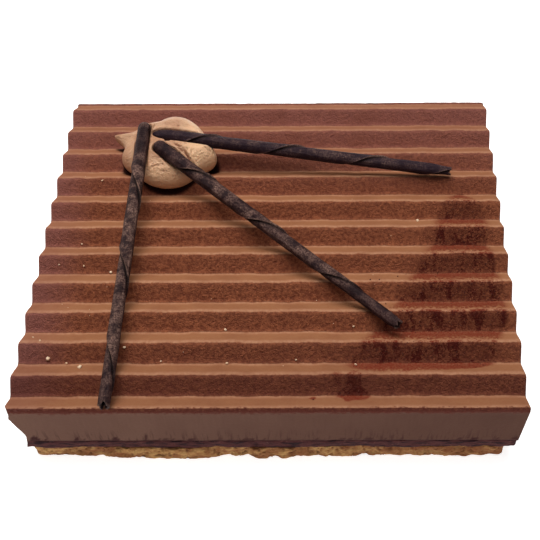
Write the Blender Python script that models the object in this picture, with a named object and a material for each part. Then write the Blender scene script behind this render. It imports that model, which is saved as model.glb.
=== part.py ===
"""Trianon cake: ribbed chocolate mousse on a praline layer and a crumbly biscuit base.

Metres, +Z up.  X runs along the ridges, and the cut front face looks towards -Y.
The origin is under the middle of the cake, on the surface that it stands on.
"""

import math
from typing import NamedTuple

import bpy
import bmesh
import numpy as np
from mathutils import Matrix, Vector

GAP = 0.0003                 # air between neighbouring pieces

# Ridged block
CAKE_WIDTH = 0.2262          # along the ridges
RIDGE_PITCH = 0.01662        # from crest to crest
RIDGE_TURNS = 11.63          # pitches between the front cut and the back cut
RIDGE_DEPTH = 0.0065         # of the sharp ridge, before its corners are rounded
VALLEY_PHASE = 0.58          # the valley's place between one crest and the next one behind it
ROUNDING_PHASE = 0.075       # half the window that rounds crests and valleys, in pitches
CREST_HEIGHT = 0.0465
SIDE_ROUND = 0.0014          # radius of the block's upper side edges
FRONT_ROUND = 0.0012         # how far back the front cut's upper edge is rounded
FRONT_FALL = 0.0022          # how far down it is rounded
SIDE_LEAN = 0.0218           # how far the side cuts run to +X for each metre towards the back
CAKE_DEPTH = RIDGE_PITCH * RIDGE_TURNS

# Layers under the mousse
BISCUIT_TOP = 0.0092
PRALINE_TOP = 0.0157
BISCUIT_SIDE_INSET = 0.0041
BISCUIT_FRONT_INSET = 0.0004
BISCUIT_LUMP = 0.0015        # how far a lump stands out of the biscuit's cut edge
BISCUIT_REACH = 0.0008       # how far its furthest lump stands out behind the back cut
PRALINE_WAVE = 0.0004
OUTLINE_STEP = 0.0045        # spacing of the points along a layer's outline

# Chip out of the front left corner: height, width along the front and length back
CORNER_CHIP = (
    (0.0090, 0.0018, 0.0110), (0.0130, 0.0030, 0.0130), (0.0165, 0.0037, 0.0160),
    (0.0220, 0.0043, 0.0160), (0.0300, 0.0023, 0.0120), (0.0375, 0.0008, 0.0050),
    (0.0410, 0.0016, 0.0030), (0.0480, 0.0020, 0.0030),
)
CHIP_REACH = 0.0080          # how far the cutter reaches past the chip's two ends
CHIP_THICKNESS = 0.0200

# Chocolate sticks
STICK_OVERHANG = 0.0013      # the left stick's end in front of the cut face
STICK_LAP = 0.0004           # thickness of the rolled sheet at its spiral edge
STICK_SIDES = 14
STICK_SECTION_STEP = 0.0045
NOSE_PARTS = (0.03, 0.14, 0.32, 0.6, 1.0)
STICK_RECESS = 0.0040        # depth of the hollow in the broken lower end

# Dollop
DOLLOP_CENTRE = (-0.0550, 0.0510)
DOLLOP_RADIUS = 0.0207
DOLLOP_RISE = 0.0112         # above its widest level
DOLLOP_TILT = 0.09           # rise towards the back, as a slope
DOLLOP_WIDEST = CREST_HEIGHT + 0.0032
DOLLOP_ROOT = 0.0105         # below its widest level, before the ridges are cut out
DOLLOP_TIP = (160.0, 8.0)    # where its drawn-out tip lies and how wide it is, in degrees
DOLLOP_TIP_FALL = 0.55       # how much lower the tip is, as a share of the rise
DOLLOP_TURNS = 45
DOLLOP_RINGS = 9

FRONT_Y = -CAKE_DEPTH / 2.0 + (STICK_OVERHANG - BISCUIT_REACH) / 2.0
BACK_Y = FRONT_Y + CAKE_DEPTH
MIDDLE_Y = (FRONT_Y + BACK_Y) / 2.0
SEED = 7


class Stick(NamedTuple):
    """One rolled stick, from its raised end on the dollop to its end on a crest."""

    name: str
    raised_end: tuple[float, float, float]
    resting_end: tuple[float, float]
    radii: tuple[float, float]   # at the raised end and at the resting end
    lap_pitch: float             # length of one turn of the spiral edge
    lap_start: float             # from the raised end to where the edge first passes over the top
    nose: float                  # length of the raised end's rounding


STICKS = (
    Stick("chocolate_stick_left", (-0.0674, 0.0627, 0.0595), (-0.0709, FRONT_Y - STICK_OVERHANG),
          (0.0035, 0.0027), 0.0478, 0.0397, 0.0040),
    Stick("chocolate_stick_middle", (-0.0609, 0.0480, 0.0595), (0.0581, -0.0570),
          (0.0038, 0.0026), 0.0462, 0.0287, 0.0040),
    Stick("chocolate_stick_top", (-0.0632, 0.0561, 0.0584), (0.0904, 0.0368),
          (0.0034, 0.0030), 0.0438, 0.0205, 0.0110),
)


def clear_scene() -> None:
    """Remove the objects that the scene holds."""
    for thing in list(bpy.data.objects):
        bpy.data.objects.remove(thing, do_unlink=True)


def finish_material(name: str, colour: tuple[float, float, float], roughness: float):
    """A plain Principled material."""
    material = bpy.data.materials.new(name)
    material.use_nodes = True
    shader = material.node_tree.nodes["Principled BSDF"]
    shader.inputs["Base Color"].default_value = (*colour, 1.0)
    shader.inputs["Roughness"].default_value = roughness
    shader.inputs["Metallic"].default_value = 0.0
    return material


def add_object(name: str, rings, material=None, twisted: bool = False):
    """A closed object through rings of points, with a flat face on the first and last ring.

    Twisted rings are joined by triangles along the shorter way across each four points.
    """
    count = len(rings[0])
    points = [tuple(point) for ring in rings for point in ring]
    faces = [tuple(reversed(range(count)))]
    for level in range(len(rings) - 1):
        low, high = level * count, (level + 1) * count
        for step in range(count):
            after = (step + 1) % count
            if twisted:
                faces.append((low + step, low + after, high + step))
                faces.append((low + after, high + after, high + step))
            else:
                faces.append((low + step, low + after, high + after, high + step))
    faces.append(tuple(range((len(rings) - 1) * count, len(rings) * count)))
    mesh = bpy.data.meshes.new(name)
    mesh.from_pydata(points, [], faces)
    shape = bmesh.new()
    shape.from_mesh(mesh)
    bmesh.ops.recalc_face_normals(shape, faces=shape.faces)
    shape.to_mesh(mesh)
    shape.free()
    piece = bpy.data.objects.new(name, mesh)
    bpy.context.collection.objects.link(piece)
    if material is not None:
        mesh.materials.append(material)
    return piece


def cut(piece, cutter) -> None:
    """Take the cutter's shape out of the piece, and keep the cutter out of sight."""
    boolean = piece.modifiers.new("cut by " + cutter.name, "BOOLEAN")
    boolean.operation = "DIFFERENCE"
    boolean.solver = "EXACT"
    boolean.object = cutter
    cutter.hide_render = True
    cutter.display_type = "WIRE"


def leaning(x: float, y: float) -> float:
    """Where a line along the block's depth, at X in the middle, runs through at Y."""
    return x + SIDE_LEAN * (y - MIDDLE_Y)


def sharp_ridge(turns):
    """Depth under the crests of a sharp ridge: a straight fall to the valley, a steeper rise."""
    phase = turns % 1.0
    fall = phase / VALLEY_PHASE
    rise = (1.0 - phase) / (1.0 - VALLEY_PHASE)
    return RIDGE_DEPTH * np.minimum(fall, rise)


def ridge_height(turns):
    """Height of the ridged top: the sharp ridge averaged over a short window of its phase."""
    shifts = np.linspace(-ROUNDING_PHASE, ROUNDING_PHASE, 9)
    depth = np.mean([sharp_ridge(turns + shift) for shift in shifts], axis=0)
    at_crest = np.mean([sharp_ridge(shift) for shift in shifts])
    return CREST_HEIGHT - (depth - at_crest)


def front_fall(turns):
    """How far the rounded edge of the front cut lies under the ridged top: a quarter ellipse."""
    near = np.clip(1.0 - turns * RIDGE_PITCH / FRONT_ROUND, 0.0, 1.0)
    return FRONT_FALL * (1.0 - np.sqrt(1.0 - near ** 2))


def ridge_stations():
    """Pitches behind the front cut at which the ridged top has a row of points."""
    corners = (0.0, VALLEY_PHASE, 1.0)
    around = (-ROUNDING_PHASE, -ROUNDING_PHASE / 2.0, 0.0, ROUNDING_PHASE / 2.0, ROUNDING_PHASE)
    phases = {round(turn + corner + shift, 4)
              for turn in range(math.ceil(RIDGE_TURNS))
              for corner in corners for shift in around}
    phases |= {part * FRONT_ROUND / RIDGE_PITCH for part in (0.08, 0.3, 0.6)}
    inside = [value for value in sorted(phases) if 0.0 <= value < RIDGE_TURNS - 0.02]
    return np.array(inside + [RIDGE_TURNS])


def side_columns():
    """Pairs of an X and a drop of the top there, which round the two upper side edges."""
    half = CAKE_WIDTH / 2.0
    angles = (0.0, math.pi / 4.0, math.pi / 2.0)
    right = [(half - SIDE_ROUND * (1.0 - math.cos(angle)), SIDE_ROUND * (1.0 - math.sin(angle)))
             for angle in angles]
    left = [(-x, drop) for x, drop in right]
    return left + [(-half / 3.0, 0.0), (half / 3.0, 0.0)] + right[::-1]


def ridged_block(name: str, underside: float, lift: float, material=None):
    """The ridged profile carried along X between the leaning sides, with a flat underside."""
    turns = ridge_stations()
    heights = ridge_height(turns) - front_fall(turns)
    depths = FRONT_Y + turns * RIDGE_PITCH
    rings = []
    for x, drop in side_columns():
        top = [(leaning(x, y), y, z - drop + lift) for y, z in zip(depths, heights)]
        bottom = [(leaning(x, y), y, underside) for y in (BACK_Y, FRONT_Y)]
        rings.append(top + bottom)
    return add_object(name, rings, material)


def chip_cutter(name: str):
    """A solid that takes the front left corner off, by its own width and length at each height."""
    corner = Vector((leaning(-CAKE_WIDTH / 2.0, FRONT_Y), FRONT_Y, 0.0))
    rings = []
    for height, width, length in CORNER_CHIP:
        start = corner + Vector((width, 0.0, height))
        end = corner + Vector((0.0, length, height))
        along = (end - start).normalized()
        away = Vector((-along.y, along.x, 0.0)) * CHIP_THICKNESS
        start, end = start - along * CHIP_REACH, end + along * CHIP_REACH
        rings.append([tuple(point) for point in (start, end, end + away, start + away)])
    return add_object(name, rings, twisted=True)


def outline(half_x: float, half_y: float):
    """Points at even steps round a rectangle, with the direction that each one's wall faces."""
    corners = [(half_x, -half_y), (half_x, half_y), (-half_x, half_y), (-half_x, -half_y)]
    points, outward = [], []
    for start, end in zip(corners, corners[1:] + corners[:1]):
        start, end = np.array(start), np.array(end)
        length = float(np.linalg.norm(end - start))
        along = (end - start) / length
        steps = max(2, round(length / OUTLINE_STEP))
        for step in range(steps):
            points.append(start + (end - start) * step / steps)
            outward.append((along[1], -along[0]))
    return np.array(points), np.array(outward)


def lumps(count: int, random, spread: int):
    """Random heights between about -1 and 1 round a closed outline, smoothed over neighbours."""
    rough = random.normal(0.0, 1.0, count)
    window = np.hanning(spread + 2)[1:-1]
    window /= math.sqrt(float(np.sum(window ** 2)))
    wrapped = np.concatenate([rough[-spread:], rough, rough[:spread]])
    smooth = np.convolve(wrapped, window, mode="same")[spread:-spread]
    return np.tanh(smooth)


def layer(name: str, half_x: float, half_y: float, levels, material, random):
    """A flat layer with uneven edges.

    Each level is a height, an even outset of the outline there and the size of its lumps.
    """
    points, outward = outline(half_x, half_y)
    shared = lumps(len(points), random, 5)
    rings = []
    for height, outset, size in levels:
        own = lumps(len(points), random, 3)
        offset = outset + size * (0.65 * shared + 0.35 * own)
        places = points + outward * offset[:, None]
        rings.append([(leaning(x, y + MIDDLE_Y), y + MIDDLE_Y, height) for x, y in places])
    return add_object(name, rings, material)


def build_biscuit(material, random):
    """The biscuit base, flat on both sides, its edge bulging and crumbly between them."""
    half_x = CAKE_WIDTH / 2.0 - BISCUIT_SIDE_INSET
    half_y = CAKE_DEPTH / 2.0 - BISCUIT_FRONT_INSET
    levels = (
        (0.0, -0.2 * BISCUIT_LUMP, BISCUIT_LUMP),
        (0.25 * BISCUIT_TOP, 0.1 * BISCUIT_LUMP, BISCUIT_LUMP),
        (0.55 * BISCUIT_TOP, 0.0, BISCUIT_LUMP),
        (0.85 * BISCUIT_TOP, -0.3 * BISCUIT_LUMP, 0.8 * BISCUIT_LUMP),
        (BISCUIT_TOP, -0.8 * BISCUIT_LUMP, 0.6 * BISCUIT_LUMP),
    )
    return layer("biscuit_base", half_x, half_y, levels, material, random)


def build_praline(material, random):
    """The dark praline layer between biscuit and mousse."""
    half_x = CAKE_WIDTH / 2.0 - PRALINE_WAVE / 2.0
    half_y = CAKE_DEPTH / 2.0 - PRALINE_WAVE
    low = BISCUIT_TOP + GAP
    levels = (
        (low, -0.5 * PRALINE_WAVE, PRALINE_WAVE),
        ((low + PRALINE_TOP) / 2.0, 0.0, PRALINE_WAVE),
        (PRALINE_TOP, 0.0, PRALINE_WAVE),
    )
    slab = layer("praline_layer", half_x, half_y, levels, material, random)
    cut(slab, chip_cutter("praline chip"))
    return slab


def build_mousse(material):
    """The ridged mousse block with the chip in its front left corner."""
    low = PRALINE_TOP + GAP
    block = ridged_block("mousse", low, 0.0, material)
    cut(block, chip_cutter("mousse chip"))
    return block


def stick_frame(stick: Stick):
    """Length of a stick and the matrix that lays its local +Z along it, local +X upwards."""
    start = Vector(stick.raised_end)
    rest = CREST_HEIGHT + stick.radii[1] + STICK_LAP / 2.0 + GAP
    end = Vector((*stick.resting_end, rest))
    along = (end - start).normalized()
    upward = (Vector((0.0, 0.0, 1.0)) - along * along.z).normalized()
    side = along.cross(upward)
    turn = Matrix((upward, side, along)).transposed()
    return (end - start).length, Matrix.Translation(start) @ turn.to_4x4()


def stick_radius(stick: Stick, place: float, length: float) -> float:
    """Radius at a distance from the raised end: an even taper, times the rounded nose."""
    taper = stick.radii[0] + (stick.radii[1] - stick.radii[0]) * place / length
    if place >= stick.nose:
        return taper
    return taper * math.sqrt(1.0 - (1.0 - place / stick.nose) ** 2)


def stick_rings(stick: Stick, length: float, random):
    """Rings from the nose to the bottom of the hollow in the broken end.

    The radius shrinks evenly once round the stick and steps back at the sheet's edge, which
    turns once round the stick in a lap pitch.
    """
    nose_places = [stick.nose * part for part in NOSE_PARTS]
    steps = round((length - stick.nose) / STICK_SECTION_STEP)
    body_places = [stick.nose + (length - stick.nose) * step / steps for step in range(1, steps + 1)]
    turns = np.linspace(0.0, 1.0, STICK_SIDES + 1)
    wall = STICK_LAP * (0.5 - turns)
    jags = 0.0012 * lumps(STICK_SIDES + 1, random, 3)

    def ring(place: float, scale: float, reach):
        edge = 2.0 * math.pi * (place - stick.lap_start) / stick.lap_pitch
        angles = -edge - 2.0 * math.pi * turns
        radius = scale * (stick_radius(stick, place, length) + wall * min(1.0, place / stick.nose))
        heights = place + reach
        return np.stack([radius * np.cos(angles), radius * np.sin(angles), heights + 0.0 * turns], axis=1)

    rings = [ring(place, 1.0, 0.0) for place in nose_places + body_places[:-1]]
    rings.append(ring(length - 0.0012, 1.0, jags))
    rings.append(ring(length - 0.0016, 0.62, jags))
    rings.append(ring(length - STICK_RECESS, 0.5, 0.0 * jags))
    return rings


def build_stick(stick: Stick, material, random):
    """One rolled stick laid from the dollop to its crest."""
    length, place = stick_frame(stick)
    rings = stick_rings(stick, length, random)
    piece = add_object(stick.name, rings, material, twisted=True)
    piece.matrix_world = place
    return piece


def stick_cutter(stick: Stick):
    """The stick's bed: its own nose and taper, wider by the lap and the gap."""
    length, place = stick_frame(stick)
    angles = np.linspace(0.0, 2.0 * math.pi, 24, endpoint=False)
    distances = [stick.nose * part for part in NOSE_PARTS]
    distances += list(np.linspace(stick.nose, length, 10))[1:]
    rings = []
    for distance in distances:
        radius = stick_radius(stick, distance, length) + STICK_LAP / 2.0 + GAP
        radius /= math.cos(math.pi / 24.0)
        rings.append([(radius * math.cos(angle), radius * math.sin(angle), distance - GAP)
                      for angle in angles])
    piece = add_object("bed of " + stick.name, rings)
    piece.matrix_world = place
    return piece


def bump(angle: float, centre: float, width: float, power: float = 2.0) -> float:
    """A bell curve, 1 high, round a direction given in degrees."""
    away = abs((math.degrees(angle) - centre + 180.0) % 360.0 - 180.0)
    return math.exp(-(away / width) ** power)


def dollop_radius(angle: float) -> float:
    """Outline of the dollop: a round blob, a lobe on its right and a drawn-out tip on its left."""
    lobe = 0.0046 * bump(angle, -12.0, 16.5)
    tip = 0.0105 * bump(angle, *DOLLOP_TIP, power=1.2)
    hollow = -0.0030 * bump(angle, 112.0, 16.0)
    swellings = 0.0007 * bump(angle, 104.0, 60.0) + 0.0037 * bump(angle, -166.0, 18.0)
    return DOLLOP_RADIUS + lobe + tip + hollow + swellings


def build_dollop(material):
    """The soft dollop, spread over the ridges and pressed in by the three sticks."""
    tilts = np.linspace(0.5 * math.pi, -0.5 * math.pi, 2 * DOLLOP_RINGS + 1)
    angles = np.linspace(0.0, 2.0 * math.pi, DOLLOP_TURNS, endpoint=False)
    rings = []
    for tilt in tilts:
        across = max(0.04, math.cos(tilt)) ** 0.75
        rise = math.copysign(abs(math.sin(tilt)) ** 0.95, tilt)
        ring = []
        for angle in angles:
            away = dollop_radius(angle) * across
            x, y = away * math.cos(angle), away * math.sin(angle)
            lower = 1.0 - DOLLOP_TIP_FALL * across * bump(angle, DOLLOP_TIP[0], 2.0 * DOLLOP_TIP[1])
            height = DOLLOP_WIDEST + rise * (DOLLOP_RISE * lower if rise > 0.0 else DOLLOP_ROOT)
            ring.append((DOLLOP_CENTRE[0] + x, DOLLOP_CENTRE[1] + y, height + DOLLOP_TILT * y))
        rings.append(ring)
    dollop = add_object("dollop", rings, material)
    cut(dollop, ridged_block("bed of dollop", PRALINE_TOP, 1.5 * GAP))
    for stick in STICKS:
        cut(dollop, stick_cutter(stick))
    return dollop


def shade(piece) -> None:
    """Smooth the rounded faces of a piece and keep its sharp corners."""
    piece.data.shade_smooth()
    piece.data.set_sharp_from_angle(angle=math.radians(35.0))


def main() -> None:
    """Build the cake, from the biscuit up."""
    clear_scene()
    random = np.random.default_rng(SEED)
    biscuit = finish_material("biscuit", (0.242, 0.130, 0.058), 0.85)
    praline = finish_material("praline", (0.050, 0.017, 0.014), 0.55)
    velvet = finish_material("velvet mousse", (0.162, 0.060, 0.032), 0.80)
    cream = finish_material("praline cream", (0.610, 0.352, 0.223), 0.55)
    chocolate = finish_material("dark chocolate", (0.036, 0.022, 0.020), 0.40)
    pieces = [build_biscuit(biscuit, random), build_praline(praline, random), build_mousse(velvet)]
    pieces.append(build_dollop(cream))
    pieces += [build_stick(stick, chocolate, random) for stick in STICKS]
    for piece in pieces:
        shade(piece)


main()
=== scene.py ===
"""Looks of the trianon cake: ribbed velvet mousse, praline, biscuit, dollop and chocolate sticks.

Metres, +Z up.  X runs along the ridges, and the cut front face looks towards -Y.
Every piece is a surface worked out on a grid of numpy arrays, in the same place as the solid
that it stands for.
"""

import logging
import math
from collections.abc import Callable
from dataclasses import dataclass, field
from enum import Enum

import bmesh
import bpy
import numpy as np
from mathutils import Matrix, Vector


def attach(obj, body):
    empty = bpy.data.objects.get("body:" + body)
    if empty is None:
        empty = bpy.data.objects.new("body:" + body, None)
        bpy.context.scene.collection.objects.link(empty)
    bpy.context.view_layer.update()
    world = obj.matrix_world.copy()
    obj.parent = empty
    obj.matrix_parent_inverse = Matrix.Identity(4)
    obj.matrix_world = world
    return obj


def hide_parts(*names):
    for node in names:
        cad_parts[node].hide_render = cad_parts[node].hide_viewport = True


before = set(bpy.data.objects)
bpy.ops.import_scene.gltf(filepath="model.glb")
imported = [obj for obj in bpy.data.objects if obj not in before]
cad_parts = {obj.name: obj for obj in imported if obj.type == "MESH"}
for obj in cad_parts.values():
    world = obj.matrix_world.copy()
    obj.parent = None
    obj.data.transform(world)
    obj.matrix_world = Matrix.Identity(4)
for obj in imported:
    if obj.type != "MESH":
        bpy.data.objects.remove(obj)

LOG = logging.getLogger("trianon cake")
Array = np.ndarray
Colour = tuple[float, float, float]
MM = 0.001


# ---------------------------------------------------------------- numbers and noise

def rgb(red: int, green: int, blue: int) -> Colour:
    """Linear colour of a screen colour given from 0 to 255: ((c + 0.055) / 1.055) ^ 2.4."""
    parts = [value / 255.0 for value in (red, green, blue)]
    return tuple(part / 12.92 if part <= 0.04045 else ((part + 0.055) / 1.055) ** 2.4
                 for part in parts)


def step(values: Array, low: float, high: float) -> Array:
    """Smooth step from 0 at low to 1 at high: 3t^2 - 2t^3 with t limited to 0..1.

    Args:
        values: numbers of any kind.
        low: where the step starts.
        high: where it ends.

    Returns:
        A value from 0 to 1 for each number.
    """
    t = np.clip((values - low) / (high - low), 0.0, 1.0)
    return t * t * (3.0 - 2.0 * t)


def band(values: Array, start: float | Array, full: float | Array, fade: float | Array,
         end: float | Array) -> Array:
    """1 between full and fade, with smooth steps from 0 at start and back to 0 at end."""
    return step(values, start, full) * step(-values, -end, -fade)


def bell(values: Array, width: float) -> Array:
    """Bell curve that is 1 at zero: exp(-(v / width)^2)."""
    return np.exp(-(values / width) ** 2)


def corner_values(cells: Array, seed: int) -> Array:
    """A repeatable value between -1 and 1 for each whole-number lattice corner.

    The three corner numbers are multiplied by large primes, mixed by exclusive or and scrambled
    twice; the lowest 20 bits are the value.

    Args:
        cells: whole numbers, the last axis being x, y, z.
        seed: picks one pattern.

    Returns:
        One value for each corner.
    """
    cells = cells.astype(np.int64)
    mixed = (cells[..., 0] * 73856093) ^ (cells[..., 1] * 19349663) ^ (cells[..., 2] * 83492791)
    mixed = (mixed ^ (seed * 2654435761)) & 0xFFFFFFFF
    for factor in (0x7FEB352D, 0x846CA68B):
        mixed = ((mixed ^ (mixed >> 15)) * factor) & 0xFFFFFFFF
    return (mixed & 0xFFFFF) / float(0x80000) - 1.0


def noise(points: Array, size: float, seed: int, octaves: int = 1) -> Array:
    """Smooth noise between about -1 and 1 at points.

    Each octave blends the values of the eight lattice corners round a point with the weight
    3t^2 - 2t^3 along each axis; the next octave has half the size and half the height.

    Args:
        points: places, the last axis being x, y, z.
        size: size of the first octave's features, in metres.
        seed: picks one pattern.
        octaves: how many octaves are added up.

    Returns:
        One value for each point.
    """
    total = np.zeros(points.shape[:-1])
    height = 1.0
    for octave in range(octaves):
        scaled = points / (size * 0.5 ** octave) + 17.3 * octave
        base = np.floor(scaled)
        part = scaled - base
        part = part * part * (3.0 - 2.0 * part)
        value = np.zeros(points.shape[:-1])
        for corner in np.ndindex(2, 2, 2):
            weight = np.prod(np.where(np.array(corner) == 1, part, 1.0 - part), axis=-1)
            value += weight * corner_values(base + np.array(corner), seed + 31 * octave)
        total += height * value
        height *= 0.5
    return total


def places(x: Array, y: Array, z: Array) -> Array:
    """Points from three arrays or numbers that broadcast to one shape."""
    return np.stack(np.broadcast_arrays(x, y, z), axis=-1)


# ---------------------------------------------------------------- meshes

class Facing(Enum):
    """Which side of a grid of points is the outside."""

    ALONG = 1        # rows x columns, by the right-hand rule
    AGAINST = -1


@dataclass
class Shell:
    """Patches of points that are joined into one closed mesh.

    Attributes:
        name: the piece's name.
        masks: names of the values painted on each point.
        points: blocks of points so far, and values holds what is painted on them.
        faces: blocks of quads, and rims holds the rings that are closed with one face.
        count: number of points so far.
    """

    name: str
    masks: tuple[str, ...] = ()
    points: list[Array] = field(default_factory=list)
    values: list[Array] = field(default_factory=list)
    faces: list[Array] = field(default_factory=list)
    rims: list[list[int]] = field(default_factory=list)
    count: int = 0

    def _store(self, points: Array, painted: dict[str, Array]) -> int:
        """Keep a block of points with their painted values, and return its first number.

        Args:
            points: n x 3.
            painted: values by mask, each of one value or n.

        Returns:
            The first point's number.
        """
        first, size = self.count, len(points)
        rows = [np.broadcast_to(painted.get(mask, 0.0), (size,)) for mask in self.masks]
        self.points.append(points)
        self.values.append(np.stack(rows) if rows else np.zeros((0, size)))
        self.count += size
        return first

    def grid(self, points: Array, facing: Facing = Facing.ALONG, wrap: bool = False,
             **painted: Array) -> Array:
        """Add a grid of points as quads.

        Args:
            points: rows x columns x 3.
            facing: which way the faces look.
            wrap: whether the last column joins the first one.
            painted: values for the masks, each of one value or rows x columns.

        Returns:
            The number of each point, rows x columns.
        """
        rows, columns = points.shape[:2]
        flat = {name: np.broadcast_to(value, (rows, columns)).ravel()
                for name, value in painted.items()}
        first = self._store(points.reshape(-1, 3), flat)
        numbers = first + np.arange(rows * columns).reshape(rows, columns)
        across = np.roll(numbers, -1, axis=1) if wrap else numbers[:, 1:]
        here = numbers if wrap else numbers[:, :-1]
        quads = np.stack([here[:-1], across[:-1], across[1:], here[1:]], axis=-1).reshape(-1, 4)
        self.faces.append(quads if facing is Facing.ALONG else quads[:, ::-1])
        return numbers

    def rim(self, numbers: Array) -> None:
        """Close a ring of points with one flat face."""
        self.rims.append([int(number) for number in numbers])

    def piece(self, material: bpy.types.Material, merge: float = 1e-6) -> bpy.types.Object:
        """Join the patches into an object.

        Args:
            material: the object's finish.
            merge: points closer than this become one.

        Returns:
            The object, smooth-shaded, at the origin.
        """
        points, quads = np.concatenate(self.points), np.concatenate(self.faces)
        sizes = np.concatenate([np.full(len(quads), 4), [len(rim) for rim in self.rims]])
        corners = np.concatenate([quads.ravel()] + [np.array(rim) for rim in self.rims])
        mesh = bpy.data.meshes.new(self.name)
        mesh.vertices.add(len(points))
        mesh.vertices.foreach_set("co", points.astype(np.float32).ravel())
        mesh.loops.add(len(corners))
        mesh.loops.foreach_set("vertex_index", corners.astype(np.int32))
        mesh.polygons.add(len(sizes))
        starts = np.concatenate([[0], np.cumsum(sizes)[:-1]])
        mesh.polygons.foreach_set("loop_start", starts.astype(np.int32))
        mesh.update(calc_edges=True)
        painted = np.concatenate(self.values, axis=1)
        for mask, value in zip(self.masks, painted):
            layer = mesh.attributes.new(mask, "FLOAT", "POINT")
            layer.data.foreach_set("value", value.astype(np.float32))
        tidy = bmesh.new()
        tidy.from_mesh(mesh)
        bmesh.ops.remove_doubles(tidy, verts=tidy.verts, dist=merge)
        bmesh.ops.recalc_face_normals(tidy, faces=tidy.faces)
        tidy.to_mesh(mesh)
        tidy.free()
        mesh.validate()
        mesh.shade_smooth()
        piece = bpy.data.objects.new(self.name, mesh)
        bpy.context.collection.objects.link(piece)
        mesh.materials.append(material)
        return piece


def place_piece(piece: bpy.types.Object, slot: str, *nodes: str) -> None:
    """Let a piece ride on the cake and stand for the nodes given.

    Args:
        piece: the finished piece.
        slot: not used.
        nodes: the solids that it stands for, if any.
    """
    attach(piece, "root")
    if nodes:
        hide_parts(*nodes)
    LOG.info("%s: %d faces", piece.name, len(piece.data.polygons))


# ---------------------------------------------------------------- finishes

Socket = bpy.types.NodeSocket


class Nodes:
    """Short ways to make and join shader nodes in one tree."""

    def __init__(self, tree: bpy.types.NodeTree) -> None:
        """Work in the given node tree."""
        self.tree = tree

    def add(self, kind: str, inputs: dict | None = None, **settings) -> bpy.types.Node:
        """Add a node.

        Args:
            kind: the node's type, without its ShaderNode prefix.
            inputs: values or sockets for the inputs, by name or number.
            settings: values for the node's own properties.

        Returns:
            The node.
        """
        node = self.tree.nodes.new("ShaderNode" + kind)
        for name, value in settings.items():
            setattr(node, name, value)
        for name, value in (inputs or {}).items():
            if isinstance(value, bpy.types.NodeSocket):
                self.tree.links.new(value, node.inputs[name])
            elif isinstance(value, tuple) and len(value) == 3 \
                    and node.inputs[name].type == "RGBA":
                node.inputs[name].default_value = (*value, 1.0)
            else:
                node.inputs[name].default_value = value
        return node

    def place(self, scale: tuple[float, float, float] = (1.0, 1.0, 1.0)) -> Socket:
        """Object coordinates, scaled."""
        source = self.add("TexCoord").outputs["Object"]
        return self.add("Mapping", {"Vector": source, "Scale": scale}).outputs[0]

    def painted(self, mask: str) -> Socket:
        """A value painted on the mesh."""
        return self.add("Attribute", attribute_name=mask).outputs["Fac"]

    def noise(self, place: Socket, size: float, detail: float = 2.0,
              rough: float = 0.5) -> Socket:
        """Noise from 0 to 1 with features of a size in metres."""
        return self.add("TexNoise", {"Vector": place, "Scale": 1.0 / size, "Detail": detail,
                                     "Roughness": rough}).outputs["Fac"]

    def maths(self, kind: str, *values: float | Socket) -> Socket:
        """One arithmetic step."""
        return self.add("Math", dict(enumerate(values)), operation=kind).outputs[0]

    def times(self, first: float | Socket, second: float | Socket) -> Socket:
        """The product of two numbers."""
        return self.maths("MULTIPLY", first, second)

    def plus(self, first: float | Socket, second: float | Socket) -> Socket:
        """The sum of two numbers."""
        return self.maths("ADD", first, second)

    def most(self, first: float | Socket, second: float | Socket) -> Socket:
        """The larger of two numbers."""
        return self.maths("MAXIMUM", first, second)

    def axis(self, name: str) -> Socket:
        """The X, Y or Z object coordinate."""
        return self.add("SeparateXYZ", {"Vector": self.place()}).outputs[name]

    def between(self, value: Socket, low: float | Socket, high: float | Socket,
                start: float | Socket = 0.0, end: float | Socket = 1.0) -> Socket:
        """Smooth change from start to end while the value goes from low to high."""
        return self.add("MapRange", {"Value": value, "From Min": low, "From Max": high,
                                     "To Min": start, "To Max": end},
                        interpolation_type="SMOOTHSTEP").outputs["Result"]

    def mix(self, share: float | Socket, first: Colour | Socket,
            second: Colour | Socket) -> Socket:
        """Two colours mixed by a share from 0 to 1.

        Args:
            share: 0 for the first colour, 1 for the second.
            first: a colour or a socket.
            second: a colour or a socket.

        Returns:
            The mixed colour.
        """
        node = self.add("Mix", data_type="RGBA")
        for index, value in ((0, share), (6, first), (7, second)):
            if isinstance(value, bpy.types.NodeSocket):
                self.tree.links.new(value, node.inputs[index])
            else:
                node.inputs[index].default_value = (*value, 1.0) if index else value
        return node.outputs[2]

    def mix_value(self, share: Socket, first: Socket, second: Socket) -> Socket:
        """Two numbers mixed by a share from 0 to 1."""
        return self.add("Mix", {0: share, 2: first, 3: second}, data_type="FLOAT").outputs[0]

    def bump(self, height: Socket, distance: float, strength: float = 1.0,
             under: Socket | None = None) -> Socket:
        """A bumped normal; the height is in units of the distance.

        Args:
            height: the height.
            distance: height of one unit, in metres.
            strength: share of the bump that is used.
            under: a normal that it is added to.

        Returns:
            The normal.
        """
        inputs = {"Height": height, "Distance": distance, "Strength": strength}
        if under is not None:
            inputs["Normal"] = under
        return self.add("Bump", inputs).outputs[0]


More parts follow.
